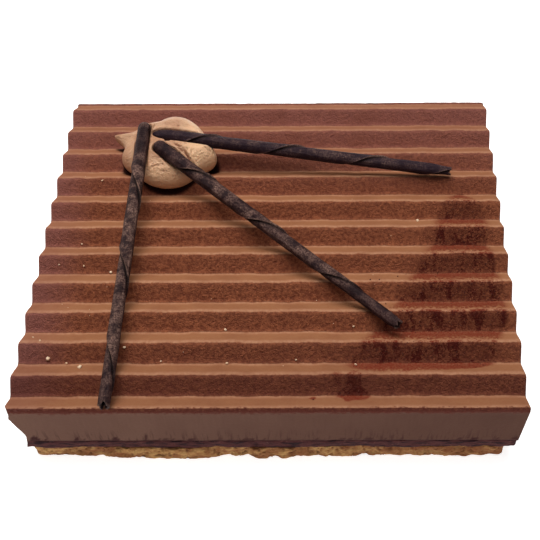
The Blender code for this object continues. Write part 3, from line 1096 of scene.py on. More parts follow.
@dataclass
class Mousse:
    """Dresses the ridged block as one closed shell.

    Attributes:
        block: the block that it dresses.
        powder: where the dark powder lies.
        gap: how far a place lies outside the dollop's outline; it places the painted contact shadow
            round its foot.
        finish: its finish.
        smears: X, height and half the width of the dark ticks at the foot of the front cut.
        fine_rough: height of the fine unevenness of the cut walls.
        broad_rough: height of their broad unevenness.
        inset: how far they stand back from the solid's walls.
    """

    block: RidgedBlock
    powder: PowderPatch
    gap: Callable[[Array, Array], Array]
    finish: VelvetFinish = field(default_factory=VelvetFinish)
    smears: tuple[tuple[float, float, float], ...] = (
        (-0.1075, 0.0050, 0.0030), (-0.1026, 0.0022, 0.0007), (-0.0885, 0.0042, 0.0016),
        (-0.0787, 0.0020, 0.0006), (-0.0710, 0.0042, 0.0024), (-0.0570, 0.0068, 0.0006),
        (-0.0368, 0.0030, 0.0020), (-0.0195, 0.0016, 0.0016), (0.0020, 0.0012, 0.0024),
        (0.0202, 0.0018, 0.0030), (0.0906, 0.0030, 0.0014))
    fine_rough: float = 0.00013
    broad_rough: float = 0.00018
    inset: float = 0.0002

    def top(self, shell: Shell) -> Array:
        """Add the ridged top and return its points, rows from front to back."""
        block = self.block
        shares, fall = block.columns()
        rows = round(block.turns * block.rows_per_pitch)
        near = block.front + block.front_round * np.array([0.0, 0.04, 0.14, 0.3, 0.5, 0.75])
        y = np.linspace(block.front + block.front_round, block.back, rows)
        y = np.concatenate([near, y])[:, None]
        x = block.across(shares[None, :], y, block.crest)
        z = block.height(x, y) - fall[None, :]
        strayed = block.strayed(x, y)
        rise = 1.0 - block.drop(strayed) / (0.86 * block.depth)
        # side: cooler tint towards the left edge, and painted light and shade on the slopes towards
        # the back
        side = np.maximum(0.8 * step(-x, 0.086, 0.112), 0.7 * step(y, 0.015, 0.085))
        edge = (block.edge_fall(y) - np.clip(y - block.front - block.front_round, 0.0, 0.003)) / MM
        # smear on the top is painted contact shadow round the dollop's foot; slope picks painted
        # light or shade
        shell.grid(places(x, y, z), Facing.ALONG, slope=block.slope(strayed), rise=rise, edge=edge,
                   powder=self.powder.cover(x, y), side=side,
                   smear=step(-self.gap(x, y), -0.0018, -0.0002))
        return places(x, y, z)

    def wall(self, shell: Shell, upper: Array, facing: Facing, side: int) -> Array:
        """Add a wall from an upper row of points down to the underside.

        Args:
            shell: the shell that it is added to.
            upper: the wall's upper points, in order.
            facing: which way the grid looks.
            side: -1 for the left wall, 1 for the right one, 0 for the front or back one.

        Returns:
            The numbers of the lowest row's points.
        """
        block = self.block
        share = np.linspace(0.0, 1.0, block.wall_rows + 1)[:, None] ** 1.15
        z = upper[None, :, 2] * (1.0 - share) + block.underside * share
        y = np.broadcast_to(upper[None, :, 1], z.shape)
        if side:
            x = block.side_place(y, z, side)
            ends = np.minimum(y - block.front, block.back - y)
        else:
            shares = block.columns()[0][None, :]
            x = block.across(shares, y, z)
            ends = np.minimum(shares, 1.0 - shares) * block.width
        x = np.where(share == 0.0, upper[None, :, 0], x)
        fade = step(ends, 0.0, 0.004) * step(share, 0.0, 0.12)
        here = places(x, y, z)
        rough = self.fine_rough * noise(here * np.array([1.0, 1.0, 0.25]), 0.0028, 31, 2) \
            + self.broad_rough * noise(here, 0.011, 33)
        out = rough * fade - self.inset * fade
        if side:
            x = x + side * out
        else:
            y = y + out * (-1.0 if facing is Facing.AGAINST else 1.0)
        edge = (block.crest - z) / MM
        smear = self.smear(x, z, y) if not side and facing is Facing.AGAINST \
            else self.low_smear(here)
        # slope -1 gives the velvet on the walls the painted-shade colour of the grainy slopes
        numbers = shell.grid(places(x, y, z), facing, edge=edge, smear=smear, slope=-1.0,
                             rise=1.0, side=step(-x, 0.080, 0.112))
        return numbers[-1]

    def low_smear(self, here: Array) -> Array:
        """Dark layer dragged up in places along the foot of a cut wall.

        Args:
            here: the wall's points.

        Returns:
            A painted value from 0 to 1 for each point.
        """
        waves = noise(here * np.array([1.0, 1.0, 0.0]), 0.0034, 41, 3)
        reach = 0.0004 + 0.0030 * np.clip(waves, 0.0, 1.2) ** 1.3
        low = here[..., 2] - self.block.underside
        return step(reach - low, -0.0004, 0.0003)

    def smear(self, x: Array, z: Array, y: Array) -> Array:
        """The dark ticks and wedges at the foot of the front cut, each at its own place.

        Args:
            x: X of the points.
            z: their heights.
            y: their Y.

        Returns:
            A painted value from 0 to 1 for each point.
        """
        low = z - self.block.underside
        total = self.low_smear(places(x, y, z)) * 0.8
        for centre, height, width in self.smears:
            reach = height * np.clip(1.0 - np.abs(x - centre) / width, 0.0, 1.0) ** 0.7
            total = np.maximum(total, step(reach - low, -0.0004, 0.0004) * (reach > 0.0))
        return total

    def build(self, kit: Kit) -> bpy.types.Object:
        """Build the block and dress it.

        Args:
            kit: the shared shader groups.

        Returns:
            The finished piece.
        """
        shell = Shell("mousse_block", ("slope", "rise", "edge", "powder", "side", "smear"))
        top = self.top(shell)
        front = self.wall(shell, top[0], Facing.AGAINST, 0)
        back = self.wall(shell, top[-1], Facing.ALONG, 0)
        left = self.wall(shell, top[:, 0], Facing.ALONG, -1)
        right = self.wall(shell, top[:, -1], Facing.AGAINST, 1)
        shell.rim(np.concatenate([front, right[1:], back[::-1][1:], left[::-1][1:-1]]))
        piece = shell.piece(self.finish.material(kit))
        place_piece(piece, "velvet_mousse", "mousse")
        return piece


@dataclass
class CutLayer:
    """A flat layer whose edge is a cut or crumbly wall.

    Attributes:
        block: the block above, whose sides the layer follows.
        name: the piece's name.
        node: the solid that it stands for.
        slot: its material slot.
        low: height of its underside.
        high: height of its upper side.
        side_inset: how far it stands back from the block's sides.
        front_inset: how far it stands back from the front and back cuts.
        spacing: distance between the points along the edge.
        rows: rows of points from low to high.
        corner: radius of the outline's corners.
    """

    block: RidgedBlock
    name: str
    node: str
    slot: str
    low: float
    high: float
    side_inset: float
    front_inset: float
    spacing: float = 0.0006
    rows: int = 12
    corner: float = 0.0008

    def outline(self) -> tuple[Array, Array]:
        """Even points round a rectangle with rounded corners, with their outward directions.

        Returns:
            The points and the directions, each n x 2.
        """
        half_x = 0.5 * self.block.width - self.side_inset - self.corner
        half_y = 0.5 * (self.block.back - self.block.front) - self.front_inset - self.corner
        centres = [(half_x, -half_y), (half_x, half_y), (-half_x, half_y), (-half_x, -half_y)]
        points, outward = [], []
        for index, centre in enumerate(centres):
            start = -0.5 * math.pi + 0.5 * math.pi * index
            angles = np.linspace(start, start + 0.5 * math.pi, 5)
            turn = np.stack([np.cos(angles), np.sin(angles)], axis=1)
            after = np.array(centres[(index + 1) % 4]) + self.corner * turn[-1]
            arc = np.array(centre) + self.corner * turn
            count = round(float(np.linalg.norm(after - arc[-1])) / self.spacing)
            share = np.linspace(0.0, 1.0, count + 1)[1:-1, None]
            points += [arc, arc[-1] + (after - arc[-1]) * share]
            outward += [turn, np.repeat(turn[-1:], len(share), axis=0)]
        return np.concatenate(points), np.concatenate(outward)

    def out(self, here: Array, share: Array) -> tuple[Array, Array]:
        """How far the wall stands out at points, and a painted value there.

        Args:
            here: points of the plain wall.
            share: 0 at the underside, 1 at the upper side.

        Returns:
            The distance outwards and the painted pit value.
        """
        raise NotImplementedError

    def trim(self, ring: Array) -> Array:
        """The wall's points, cut back where something is missing."""
        return ring

    def build(self, material: bpy.types.Material) -> bpy.types.Object:
        """Build the layer as a wall of rows with a flat face above and below.

        Args:
            material: the layer's finish.

        Returns:
            The finished piece.
        """
        outline, outward = self.outline()
        share = np.linspace(0.0, 1.0, self.rows + 1)[:, None]
        x, y = outline[None, :, 0], outline[None, :, 1] + self.block.middle
        x = x + self.block.lean * (y - self.block.middle)
        z = self.low + (self.high - self.low) * share
        here = places(x, y, z)
        out, pit = self.out(here, share)
        ring = self.trim(here + out[..., None] * np.concatenate(
            [np.broadcast_to(outward, here.shape[:2] + (2,)), np.zeros(here.shape[:2] + (1,))],
            axis=-1))
        shell = Shell(self.name, ("pit",))
        numbers = shell.grid(ring, Facing.ALONG, wrap=True, pit=pit)
        shell.rim(numbers[0][::-1])
        shell.rim(numbers[-1])
        piece = shell.piece(material)
        place_piece(piece, self.slot, self.node)
        return piece


@dataclass
class Praline(CutLayer):
    """The thin dark layer, with a wavy lower edge and a dent at the chipped corner."""

    name: str = "praline_slab"
    node: str = "praline_layer"
    slot: str = "praline"
    low: float = 0.0095
    high: float = 0.0157
    side_inset: float = 0.0002
    front_inset: float = 0.0
    spacing: float = 0.0007
    rows: int = 12

    def out(self, here: Array, share: Array) -> tuple[Array, Array]:
        """Small waves and chips; the lower edge draws in and out by half a millimetre.

        Args:
            here: points of the plain wall.
            share: 0 at the underside, 1 at the upper side.

        Returns:
            The distance outwards and the painted pit value, which is zero.
        """
        flat = here * np.array([1.0, 1.0, 0.0])
        out = 0.00022 * noise(here, 0.0022, 51, 2)
        out = out + 0.00055 * noise(flat, 0.0065, 53, 3) * (1.0 - share)
        out = out - 0.0003 * bell(share - 1.0, 0.15) - 0.0002 * bell(share, 0.12)
        return np.minimum(out, 0.00015), 0.0 * out

    def trim(self, ring: Array) -> Array:
        """Keep the wall behind the chip out of the block's front left corner.

        Args:
            ring: the wall's points.

        Returns:
            The points, moved in where they would stand in the chip.
        """
        near = ring[..., 1] < self.block.front + 0.020
        chipped = self.block.side_place(ring[..., 1], ring[..., 2], -1) + 0.0002
        x = np.where(near, np.maximum(ring[..., 0], chipped), ring[..., 0])
        return places(x, ring[..., 1], ring[..., 2])


@dataclass
class Biscuit(CutLayer):
    """The biscuit base: lumps, cavities and crumbs along its edge.

    Attributes:
        course: X and outset of the foot of the front edge, where the photo shows it.
    """

    name: str = "biscuit_slab"
    node: str = "biscuit_base"
    slot: str = "biscuit"
    low: float = 0.0
    high: float = 0.0092
    side_inset: float = 0.0041
    front_inset: float = 0.0004
    spacing: float = 0.00055
    rows: int = 18
    corner: float = 0.0030
    course: tuple[tuple[float, float], ...] = (
        (-0.109, -0.0012), (-0.100, -0.0008), (-0.088, -0.0010), (-0.080, -0.0008),
        (-0.077, 0.0002), (-0.057, 0.0005), (-0.053, 0.0002), (-0.047, 0.0014),
        (-0.038, 0.0013), (-0.031, 0.0002), (-0.025, -0.0008), (-0.012, -0.0009),
        (-0.0085, 0.0010), (-0.005, 0.0012), (-0.002, 0.0005), (0.002, 0.0),
        (0.006, 0.0009), (0.009, 0.0009), (0.0105, 0.0), (0.028, -0.0002),
        (0.045, -0.0010), (0.057, -0.0009), (0.091, -0.0004), (0.102, -0.0010))

    def out(self, here: Array, share: Array) -> tuple[Array, Array]:
        """Outset of the crumbly edge.

        The foot follows the course on the front and noise elsewhere; above it come lumps of
        4 and 1.5 mm, pits where the finer noise is low, and a drawn-in upper edge.

        Args:
            here: points of the plain wall.
            share: 0 at the underside, 1 at the upper side.

        Returns:
            The distance outwards and the pit value, which paints shade in the pits and hollows.
        """
        flat = here * np.array([1.0, 1.0, 0.0])
        on_front = step(-here[..., 1], -self.block.front - 0.006, -self.block.front - 0.003)
        spots = np.array(self.course)
        told = 0.0009 + np.interp(here[..., 0], spots[:, 0], spots[:, 1])
        foot = on_front * told + (1.0 - on_front) * 0.0009 * noise(flat, 0.011, 61, 2)
        lumps = 0.00055 * noise(here, 0.0042, 63, 2)
        fine = noise(here, 0.0016, 65, 2)
        pit = step(-fine, 0.5, 0.95)
        out = foot * (1.0 - 0.30 * share) + lumps + 0.00022 * fine - 0.0004 * pit
        out = out - 0.0004 * step(share, 0.8, 1.0) - 0.0003 * bell(share, 0.05)
        out = out + 0.0013 * step(here[..., 0], 0.100, 0.106) * (1.0 - on_front)
        limit = np.where(here[..., 1] > 0.085, 0.0011, 0.00165)
        # the pit value paints shade in the pits and where the lumps recede
        hollow = np.clip(-lumps / 0.0006, 0.0, 1.0)
        return np.minimum(out, limit), np.clip(pit + 0.35 * hollow, 0.0, 1.0)


# ---------------------------------------------------------------- sticks

@dataclass
class Stick:
    """A stick rolled from a thin sheet, from its raised end to its broken lower end.

    Attributes:
        name: the solid that it stands for.
        raised: middle of the raised end.
        resting: X and Y of the resting end.
        radii: at the raised end and at the resting end.
        lap_pitch: length of one turn of the sheet's edge.
        lap_start: from the raised end to where the edge first passes over the top.
        nose: length of the raised end's rounding.
        bloom: how dusty it is, from 0 to 1; the dust is kept to the upper side, as painted light.
        seed: picks its unevenness.
        cool: how bluish it looks, from 0 to 1.
        tip: length and share of the resting end's narrowing.
        lap: step at the sheet's edge.
        lip: height of the edge's curl, and the share of a turn in which it fades.
        sink: the same for the groove beside it.
        crest: height of the crests that the stick rests on.
        gap: air under the resting end.
        sides: points round the stick, and row_step is the distance between two rows.
        wall: thickness of the wall at the broken end, and hollow is the hollow's depth there.
    """

    name: str
    raised: tuple[float, float, float]
    resting: tuple[float, float]
    radii: tuple[float, float]
    lap_pitch: float
    lap_start: float
    nose: float
    bloom: float
    seed: int
    cool: float = 0.0
    tip: tuple[float, float] = (0.004, 0.08)
    lap: float = 0.0004
    lip: tuple[float, float] = (0.00080, 0.026)
    sink: tuple[float, float] = (0.00060, 0.045)
    crest: float = 0.0465
    gap: float = 0.0003
    sides: int = 96
    row_step: float = 0.0006
    wall: float = 0.0009
    hollow: float = 0.008

    def axis(self) -> tuple[Array, Array, Array, Array, float]:
        """Where the stick lies.

        Returns:
            Its start, its direction, the upward and the sideways directions, and its length.
        """
        start = np.array(self.raised)
        end = np.array([*self.resting, self.crest + self.radii[1] + 0.5 * self.lap + self.gap])
        length = float(np.linalg.norm(end - start))
        along = (end - start) / length
        upward = np.array([0.0, 0.0, 1.0]) - along * along[2]
        upward /= np.linalg.norm(upward)
        return start, along, upward, np.cross(along, upward), length

    def radius(self, s: Array, length: float) -> Array:
        """Radius at a distance from the raised end: an even taper, a round nose and a tip.

        Args:
            s: distances from the raised end.
            length: the stick's length.

        Returns:
            The radius at each distance.
        """
        taper = self.radii[0] + (self.radii[1] - self.radii[0]) * s / length
        part = np.clip(s / self.nose, 0.0, 1.0)
        narrow = 1.0 - self.tip[1] * step(s, length - self.tip[0], length)
        return narrow * taper * np.sqrt(np.maximum(1.0 - (1.0 - part) ** 2, 0.0))

    def build(self, material: bpy.types.Material) -> bpy.types.Object:
        """Build the stick as one closed shell.

        A row at s has the radius r(s) + lap (1/2 - t) for t from 0 to 1 once round, starting
        at the sheet's edge, whose angle turns evenly with s.  The edge's high side curls up
        and the low side beside it sinks in.

        Args:
            material: the stick's finish.

        Returns:
            The finished piece.
        """
        start, along, upward, side, length = self.axis()
        s = np.concatenate([self.nose * np.linspace(0.02, 1.0, 12)[:-1] ** 1.6,
                            np.arange(self.nose, length - 0.0021, self.row_step)])
        t = np.concatenate([np.linspace(0.0, 0.09, 11)[:-1],
                            np.linspace(0.09, 0.87, self.sides - 24)[:-1],
                            np.linspace(0.87, 1.0, 15)])
        rows, turns = s[:, None], t[None, :]
        edge = 2.0 * math.pi * (rows - self.lap_start) / self.lap_pitch
        angles = -edge - 2.0 * math.pi * turns
        nose = np.clip(rows / self.nose, 0.0, 1.0)
        round_place = places(rows, 0.004 * np.cos(angles), 0.004 * np.sin(angles))
        along_edge = places(rows, self.seed * 1.0, 0.0)
        curl = np.clip(0.65 + 0.7 * noise(along_edge, 0.009, self.seed, 2), 0.25, 1.2)
        lip = self.lip[0] * curl * np.exp(-turns / self.lip[1])
        sink = -self.sink[0] * np.exp(-(1.0 - turns) / self.sink[1])
        rib = noise(places(0.12 * rows, 0.004 * np.cos(angles), 0.004 * np.sin(angles)),
                    0.0012, self.seed + 5, 2)
        uneven = 0.00010 * noise(round_place, 0.007, self.seed + 2, 2) + 0.00003 * rib
        radius = self.radius(rows, length) + nose * (self.lap * (0.5 - turns) + lip + sink) \
            + nose * uneven
        room = 0.00038 * step(rows, 0.010, 0.022) * (1.0 + step(np.cos(angles), -0.1, 0.5))
        radius = np.minimum(radius, self.radius(rows, length) + room - 0.00010)
        body = self.to_world(start, along, upward, side, rows, radius, angles)
        bloom_place = band(rows, 0.10 * length, 0.24 * length, 0.74 * length, 0.93 * length)
        # the dust is kept to the upper side, which paints the top lighter and the sides darker:
        # painted light and shade
        bloom = self.bloom * (0.45 + 0.55 * bloom_place) * step(np.cos(angles), -0.35, 0.95)
        # painted highlight on the curled high side of the sheet's edge
        lip_highlight = np.clip(curl, 0.0, 1.0) ** 2 * np.exp(-(turns / 0.020) ** 2) * nose
        shell = Shell(self.name.replace("chocolate_stick", "rolled_stick"),
                      ("bloom", "lip", "hollow", "roll", "cool"))
        # painted shadow in the groove on the low side of the sheet's edge
        seam_shadow = 0.96 * np.exp(-((1.0 - turns) / 0.070) ** 2) * nose
        shell.grid(body, Facing.ALONG, wrap=True, bloom=np.clip(bloom, 0.0, 1.0),
                   lip=np.clip(0.75 * lip_highlight, 0.0, 1.0), roll=0.5 + 0.5 * rib, hollow=seam_shadow,
                   cool=self.cool)
        self.end(shell, radius[-1], angles[-1], s[-1])
        numbers = np.arange(len(t))
        shell.rim(numbers[::-1])
        piece = shell.piece(material, 2e-6)
        place_piece(piece, "dark_chocolate", self.name)
        return piece

    def to_world(self, start: Array, along: Array, upward: Array, side: Array, s: Array,
                 radius: Array, angles: Array) -> Array:
        """Points at distances along the axis, radii and angles from straight up.

        Args:
            start: middle of the raised end.
            along: the direction of the stick.
            upward: the direction of angle 0.
            side: the direction of a quarter turn.
            s: distances from the raised end.
            radius: radii.
            angles: angles from straight up.

        Returns:
            The points.
        """
        s, radius, angles = np.broadcast_arrays(s, radius, angles)
        return start + s[..., None] * along + (radius * np.cos(angles))[..., None] * upward \
            + (radius * np.sin(angles))[..., None] * side

    def end(self, shell: Shell, radius: Array, angles: Array, reach: float) -> None:
        """Add the broken end: a ragged rim, and a hollow that narrows inwards.

        The rim stands 0 to 2 mm past the last row by noise round the stick; the inner wall
        goes back from it to the hollow's floor.

        Args:
            shell: the stick's mesh so far.
            radius: radii of the last row of points.
            angles: their angles from straight up.
            reach: their distance from the raised end.
        """
        start, along, upward, side, _ = self.axis()
        turn = places(0.004 * np.cos(angles), 0.004 * np.sin(angles), 0.01 * self.seed)
        jag = 0.00100 + 0.00100 * np.clip(1.6 * noise(turn, 0.0022, self.seed + 9, 3), -1.0, 1.0)
        shares = np.array([0.0, 0.5, 1.0])[:, None]
        outer = self.to_world(start, along, upward, side, reach + shares * jag, radius, angles)
        inner_radius = np.maximum(radius - self.wall, 0.3 * radius)
        depths = np.array([0.0, 0.25, 0.6, 1.0])[:, None]
        place = (reach + jag) * (1.0 - depths) + (reach - self.hollow) * depths
        inner = self.to_world(start, along, upward, side, place,
                              inner_radius * (1.0 - 0.25 * depths), angles)
        # the lip values on the broken end paint a highlight on its rim
        shell.grid(outer, Facing.ALONG, wrap=True, bloom=0.3 * self.bloom,
                   lip=0.30 * shares ** 2, roll=0.5, cool=self.cool)
        rim = np.stack([outer[-1], inner[0]])
        shell.grid(rim, Facing.ALONG, wrap=True, lip=0.3, roll=0.5)
        # painted shade inside the hollow end, darker the deeper it goes
        dark = np.clip(depths * 2.5, 0.0, 1.0)
        numbers = shell.grid(inner, Facing.ALONG, wrap=True, hollow=dark, roll=0.5)
        shell.rim(numbers[-1])

    def bed(self, x: Array, y: Array) -> tuple[Array, Array, Array]:
        """How the stick lies over a place.

        Args:
            x: X of the places.
            y: Y of the places.

        Returns:
            The distance from the stick's axis seen from above, the height of the axis, and
            the stick's radius there, which is zero beyond its ends.
        """
        start, along, _, _, length = self.axis()
        flat = along[:2] / np.linalg.norm(along[:2])
        s = (x - start[0]) * flat[0] + (y - start[1]) * flat[1]
        away = np.abs((x - start[0]) * flat[1] - (y - start[1]) * flat[0])
        radius = np.where(s > -0.0003, self.radius(np.clip(s, 0.0, length), length), 0.0)
        height = start[2] + along[2] * np.clip(s, 0.0, length)
        return away, height, radius


# ---------------------------------------------------------------- dollop

@dataclass
class Dollop:
    """The soft dollop: a round blob over the ridges, pressed in by the sticks.

    Attributes:
        block: the ridges that it lies on.
        sticks: the sticks that press into it.
        centre: X and Y of its middle.
        radius: of its plain outline.
        rise: height above its widest level.
        tilt: rise towards the back, as a slope.
        tip: where its drawn-out tip lies and how wide it is, in degrees.
        tip_fall: how much lower the tip is, as a share of the rise.
        widest: height of its widest level.
        root: depth below that level, before the ridges stop it.
        highest: height that no fold stands above.
        angles: points round the dollop, and rings is the number from top to bottom.
        creases: both ends, the depth and the width of each torn crease.
        finish: the cream's look.
    """

    block: RidgedBlock
    sticks: tuple[Stick, ...]
    centre: tuple[float, float] = (-0.0550, 0.0510)
    radius: float = 0.0207
    rise: float = 0.0112
    tilt: float = 0.09
    tip: tuple[float, float] = (160.0, 8.0)
    tip_fall: float = 0.55
    widest: float = 0.0465 + 0.0032
    root: float = 0.0105
    highest: float = 0.0627
    angles: int = 340
    rings: int = 160
    creases: tuple[tuple[float, ...], ...] = (
        (-0.0508, 0.0479, -0.0474, 0.0452, 0.0011, 0.00050),
        (-0.0490, 0.0446, -0.0462, 0.0430, 0.0009, 0.00050),
        (-0.0460, 0.0436, -0.0422, 0.0386, 0.0014, 0.00070),
        (-0.0425, 0.0398, -0.0386, 0.0352, 0.0008, 0.00045),
        (-0.0388, 0.0356, -0.0352, 0.0322, 0.0005, 0.00040),
        (-0.0600, 0.0270, -0.0560, 0.0262, 0.0006, 0.00045),
        (-0.0560, 0.0300, -0.0520, 0.0292, 0.0004, 0.00040),
        (-0.0530, 0.0262, -0.0490, 0.0258, 0.0004, 0.00035),
        (-0.0620, 0.0355, -0.0590, 0.0362, 0.0004, 0.00035))
    finish: CreamFinish = field(default_factory=CreamFinish)

    def bump(self, angle: Array, centre: float, width: float, power: float = 2.0) -> Array:
        """A bell of the angle away from a centre, in degrees: exp(-(|a| / width)^power)."""
        away = np.mod(np.degrees(angle) - centre + 180.0, 360.0) - 180.0
        return np.exp(-(np.abs(away) / width) ** power)

    def outline(self, angle: Array) -> Array:
        """Outline radius: a round blob with a lobe, a drawn-out tip, hollows and swellings."""
        return self.radius + 0.0046 * self.bump(angle, -12.0, 16.5) \
            + 0.0105 * self.bump(angle, *self.tip, power=1.2) \
            - 0.0030 * self.bump(angle, 112.0, 16.0) + 0.0007 * self.bump(angle, 104.0, 60.0) \
            + 0.0037 * self.bump(angle, -166.0, 18.0)

    def gap(self, x: Array, y: Array) -> Array:
        """How far a place lies outside the outline; less than zero under the dollop."""
        x, y = x - self.centre[0], y - self.centre[1]
        return np.hypot(x, y) - self.outline(np.arctan2(y, x))

    def build(self, kit: Kit) -> bpy.types.Object:
        """Build the dollop as one closed shell.

        A ring at tilt a lies at cos(a)^0.75 of the outline and at sin(a)^0.95 of the rise;
        noise adds folds and wrinkles, the sticks press grooves with raised lips, and below
        the ridges stop it.

        Args:
            kit: the shared shader groups.

        Returns:
            The finished piece.
        """
        tilt = np.linspace(0.5 * math.pi, -0.5 * math.pi, self.rings + 1)[:, None]
        angle = np.linspace(0.0, 2.0 * math.pi, self.angles, endpoint=False)[None, :]
        across = np.maximum(0.03, np.cos(tilt)) ** 0.75
        lift = np.sign(np.sin(tilt)) * np.abs(np.sin(tilt)) ** 0.95
        away = self.outline(angle) * across
        x, y = away * np.cos(angle), away * np.sin(angle)
        lower = 1.0 - self.tip_fall * across * self.bump(angle, self.tip[0], 2.0 * self.tip[1])
        z = self.widest + lift * np.where(lift > 0.0, self.rise * lower, self.root)
        z = z + self.tilt * y
        x, y = x + self.centre[0], y + self.centre[1]
        here = places(x, y, z)
        upper = step(lift, -0.2, 0.3)
        z = z + upper * (0.0005 * noise(here, 0.012, 71, 2) + 0.00016 * noise(here, 0.0032, 73, 2))
        fold = np.zeros(z.shape)
        for stick in self.sticks:
            distance, height, radius = stick.bed(x, y)
            room = radius + 0.00035
            floor = height - np.sqrt(np.maximum(room ** 2 - distance ** 2, 0.0))
            under = (distance < room) & (radius > 0.0)
            touched = step(z, height - 1.15 * room, height - 0.6 * room) * (radius > 0.0)
            leaning = height + 0.15 * radius + 0.40 * np.maximum(distance - room, 0.0)
            z = np.where((radius > 0.0) & (z > leaning), 0.15 * z + 0.85 * leaning, z)
            lip = 0.0006 * bell(distance - room - 0.0009, 0.0010) * touched * upper
            z = z + lip * (~under)
            z = np.where(under, np.minimum(z, floor), z)
            # painted shade along the line where the cream meets the stick
            fold = np.maximum(fold, 0.45 * bell(distance - room, 0.0005) * touched)
        z, fold = self.tears(x, y, z, fold, upper)
        z, fold = self.bubbles(x, y, z, fold, step(lift, 0.2, 0.6))
        bottom = self.block.height(x, y) + 0.0001
        z = np.minimum(np.maximum(z, bottom), self.highest)
        shell = Shell("cream_dollop", ("fold",))
        numbers = shell.grid(places(x, y, z), Facing.AGAINST, wrap=True, fold=fold)
        shell.rim(numbers[0])
        shell.rim(numbers[-1][::-1])
        piece = shell.piece(self.finish.material(kit))
        place_piece(piece, "praline_cream", "dollop")
        return piece

    def tears(self, x: Array, y: Array, z: Array, fold: Array,
              upper: Array) -> tuple[Array, Array]:
        """Open the torn creases, most of them by the middle stick, with a lip on one side.

        The distance to each short line is taken from the nearest place on it; the crease is
        a bell curve of that distance, and the lip a second one further out.

        Args:
            x: X of the points.
            y: Y of the points.
            z: height of the points.
            fold: painted shade of the folds so far.
            upper: 1 on the upper side, 0 below.

        Returns:
            The new heights and painted values.
        """
        here = np.stack([x, y], axis=-1)
        for start_x, start_y, end_x, end_y, deep, wide in self.creases:
            start, line = np.array([start_x, start_y]), np.array([end_x - start_x, end_y - start_y])
            share = np.clip(((here - start) @ line) / (line @ line), 0.0, 1.0)
            offset = here - start - share[..., None] * line
            distance = np.linalg.norm(offset, axis=-1)
            distance = distance * (1.0 + 0.5 * noise(places(x, y, 0.0), 0.0011, 79, 2))
            beyond = (offset @ np.array([-line[1], line[0]])) > 0.0
            dent = bell(distance, wide) * (0.35 + 0.65 * np.sin(math.pi * share) ** 0.5)
            z = z - upper * deep * dent
            z = z + upper * 0.45 * deep * bell(distance - 2.0 * wide, wide) * beyond
            # painted shade in the crease
            fold = np.maximum(fold, upper * np.clip(deep / 0.0010, 0.0, 1.0) * dent)
        return z, fold

    def bubbles(self, x: Array, y: Array, z: Array, fold: Array,
                upper: Array) -> tuple[Array, Array]:
        """Press open bubbles and short wrinkles into the front and the right lobe.

        Args:
            x: X of the points.
            y: Y of the points.
            z: height of the points.
            fold: painted shade of the folds so far.
            upper: 1 on the upper side, 0 below.

        Returns:
            The new heights and painted values.
        """
        random = np.random.default_rng(12)
        spots = [(-0.0585, 0.0395, 0.00055), (-0.0560, 0.0335, 0.0005)]
        for middle_x, middle_y, spread, count in ((-0.056, 0.0335, 0.0075, 26),
                                                  (-0.037, 0.0445, 0.0055, 18),
                                                  (-0.060, 0.0530, 0.0120, 14)):
            for _ in range(count):
                place = random.normal(0.0, spread, 2)
                spots.append((middle_x + place[0], middle_y + 0.6 * place[1],
                              random.uniform(0.00018, 0.00048)))
        for spot_x, spot_y, size in spots:
            away = np.hypot((x - spot_x) / 1.4, y - spot_y)
            dent = bell(away, size * 1.15)
            z = z - upper * 0.9 * size * dent
            # painted shade in the bubble dent
            fold = np.maximum(fold, upper * 0.60 * dent)
        wrinkle = noise(places(0.35 * x, y, 0.0), 0.0016, 77, 2)
        where = bell(np.hypot(x + 0.0545, 1.3 * (y - 0.0315)), 0.009)
        skin = 0.00006 * noise(places(x, y, z), 0.0011, 78, 2)
        return z + upper * (0.00024 * where * wrinkle + skin), fold


# ---------------------------------------------------------------- loose bits

class CrumbKind(Enum):
    """What a scattered bit is made of."""

    PALE = "pale_specks"
    COCOA = "cocoa_grains"
    BISCUIT = "biscuit_crumbs"


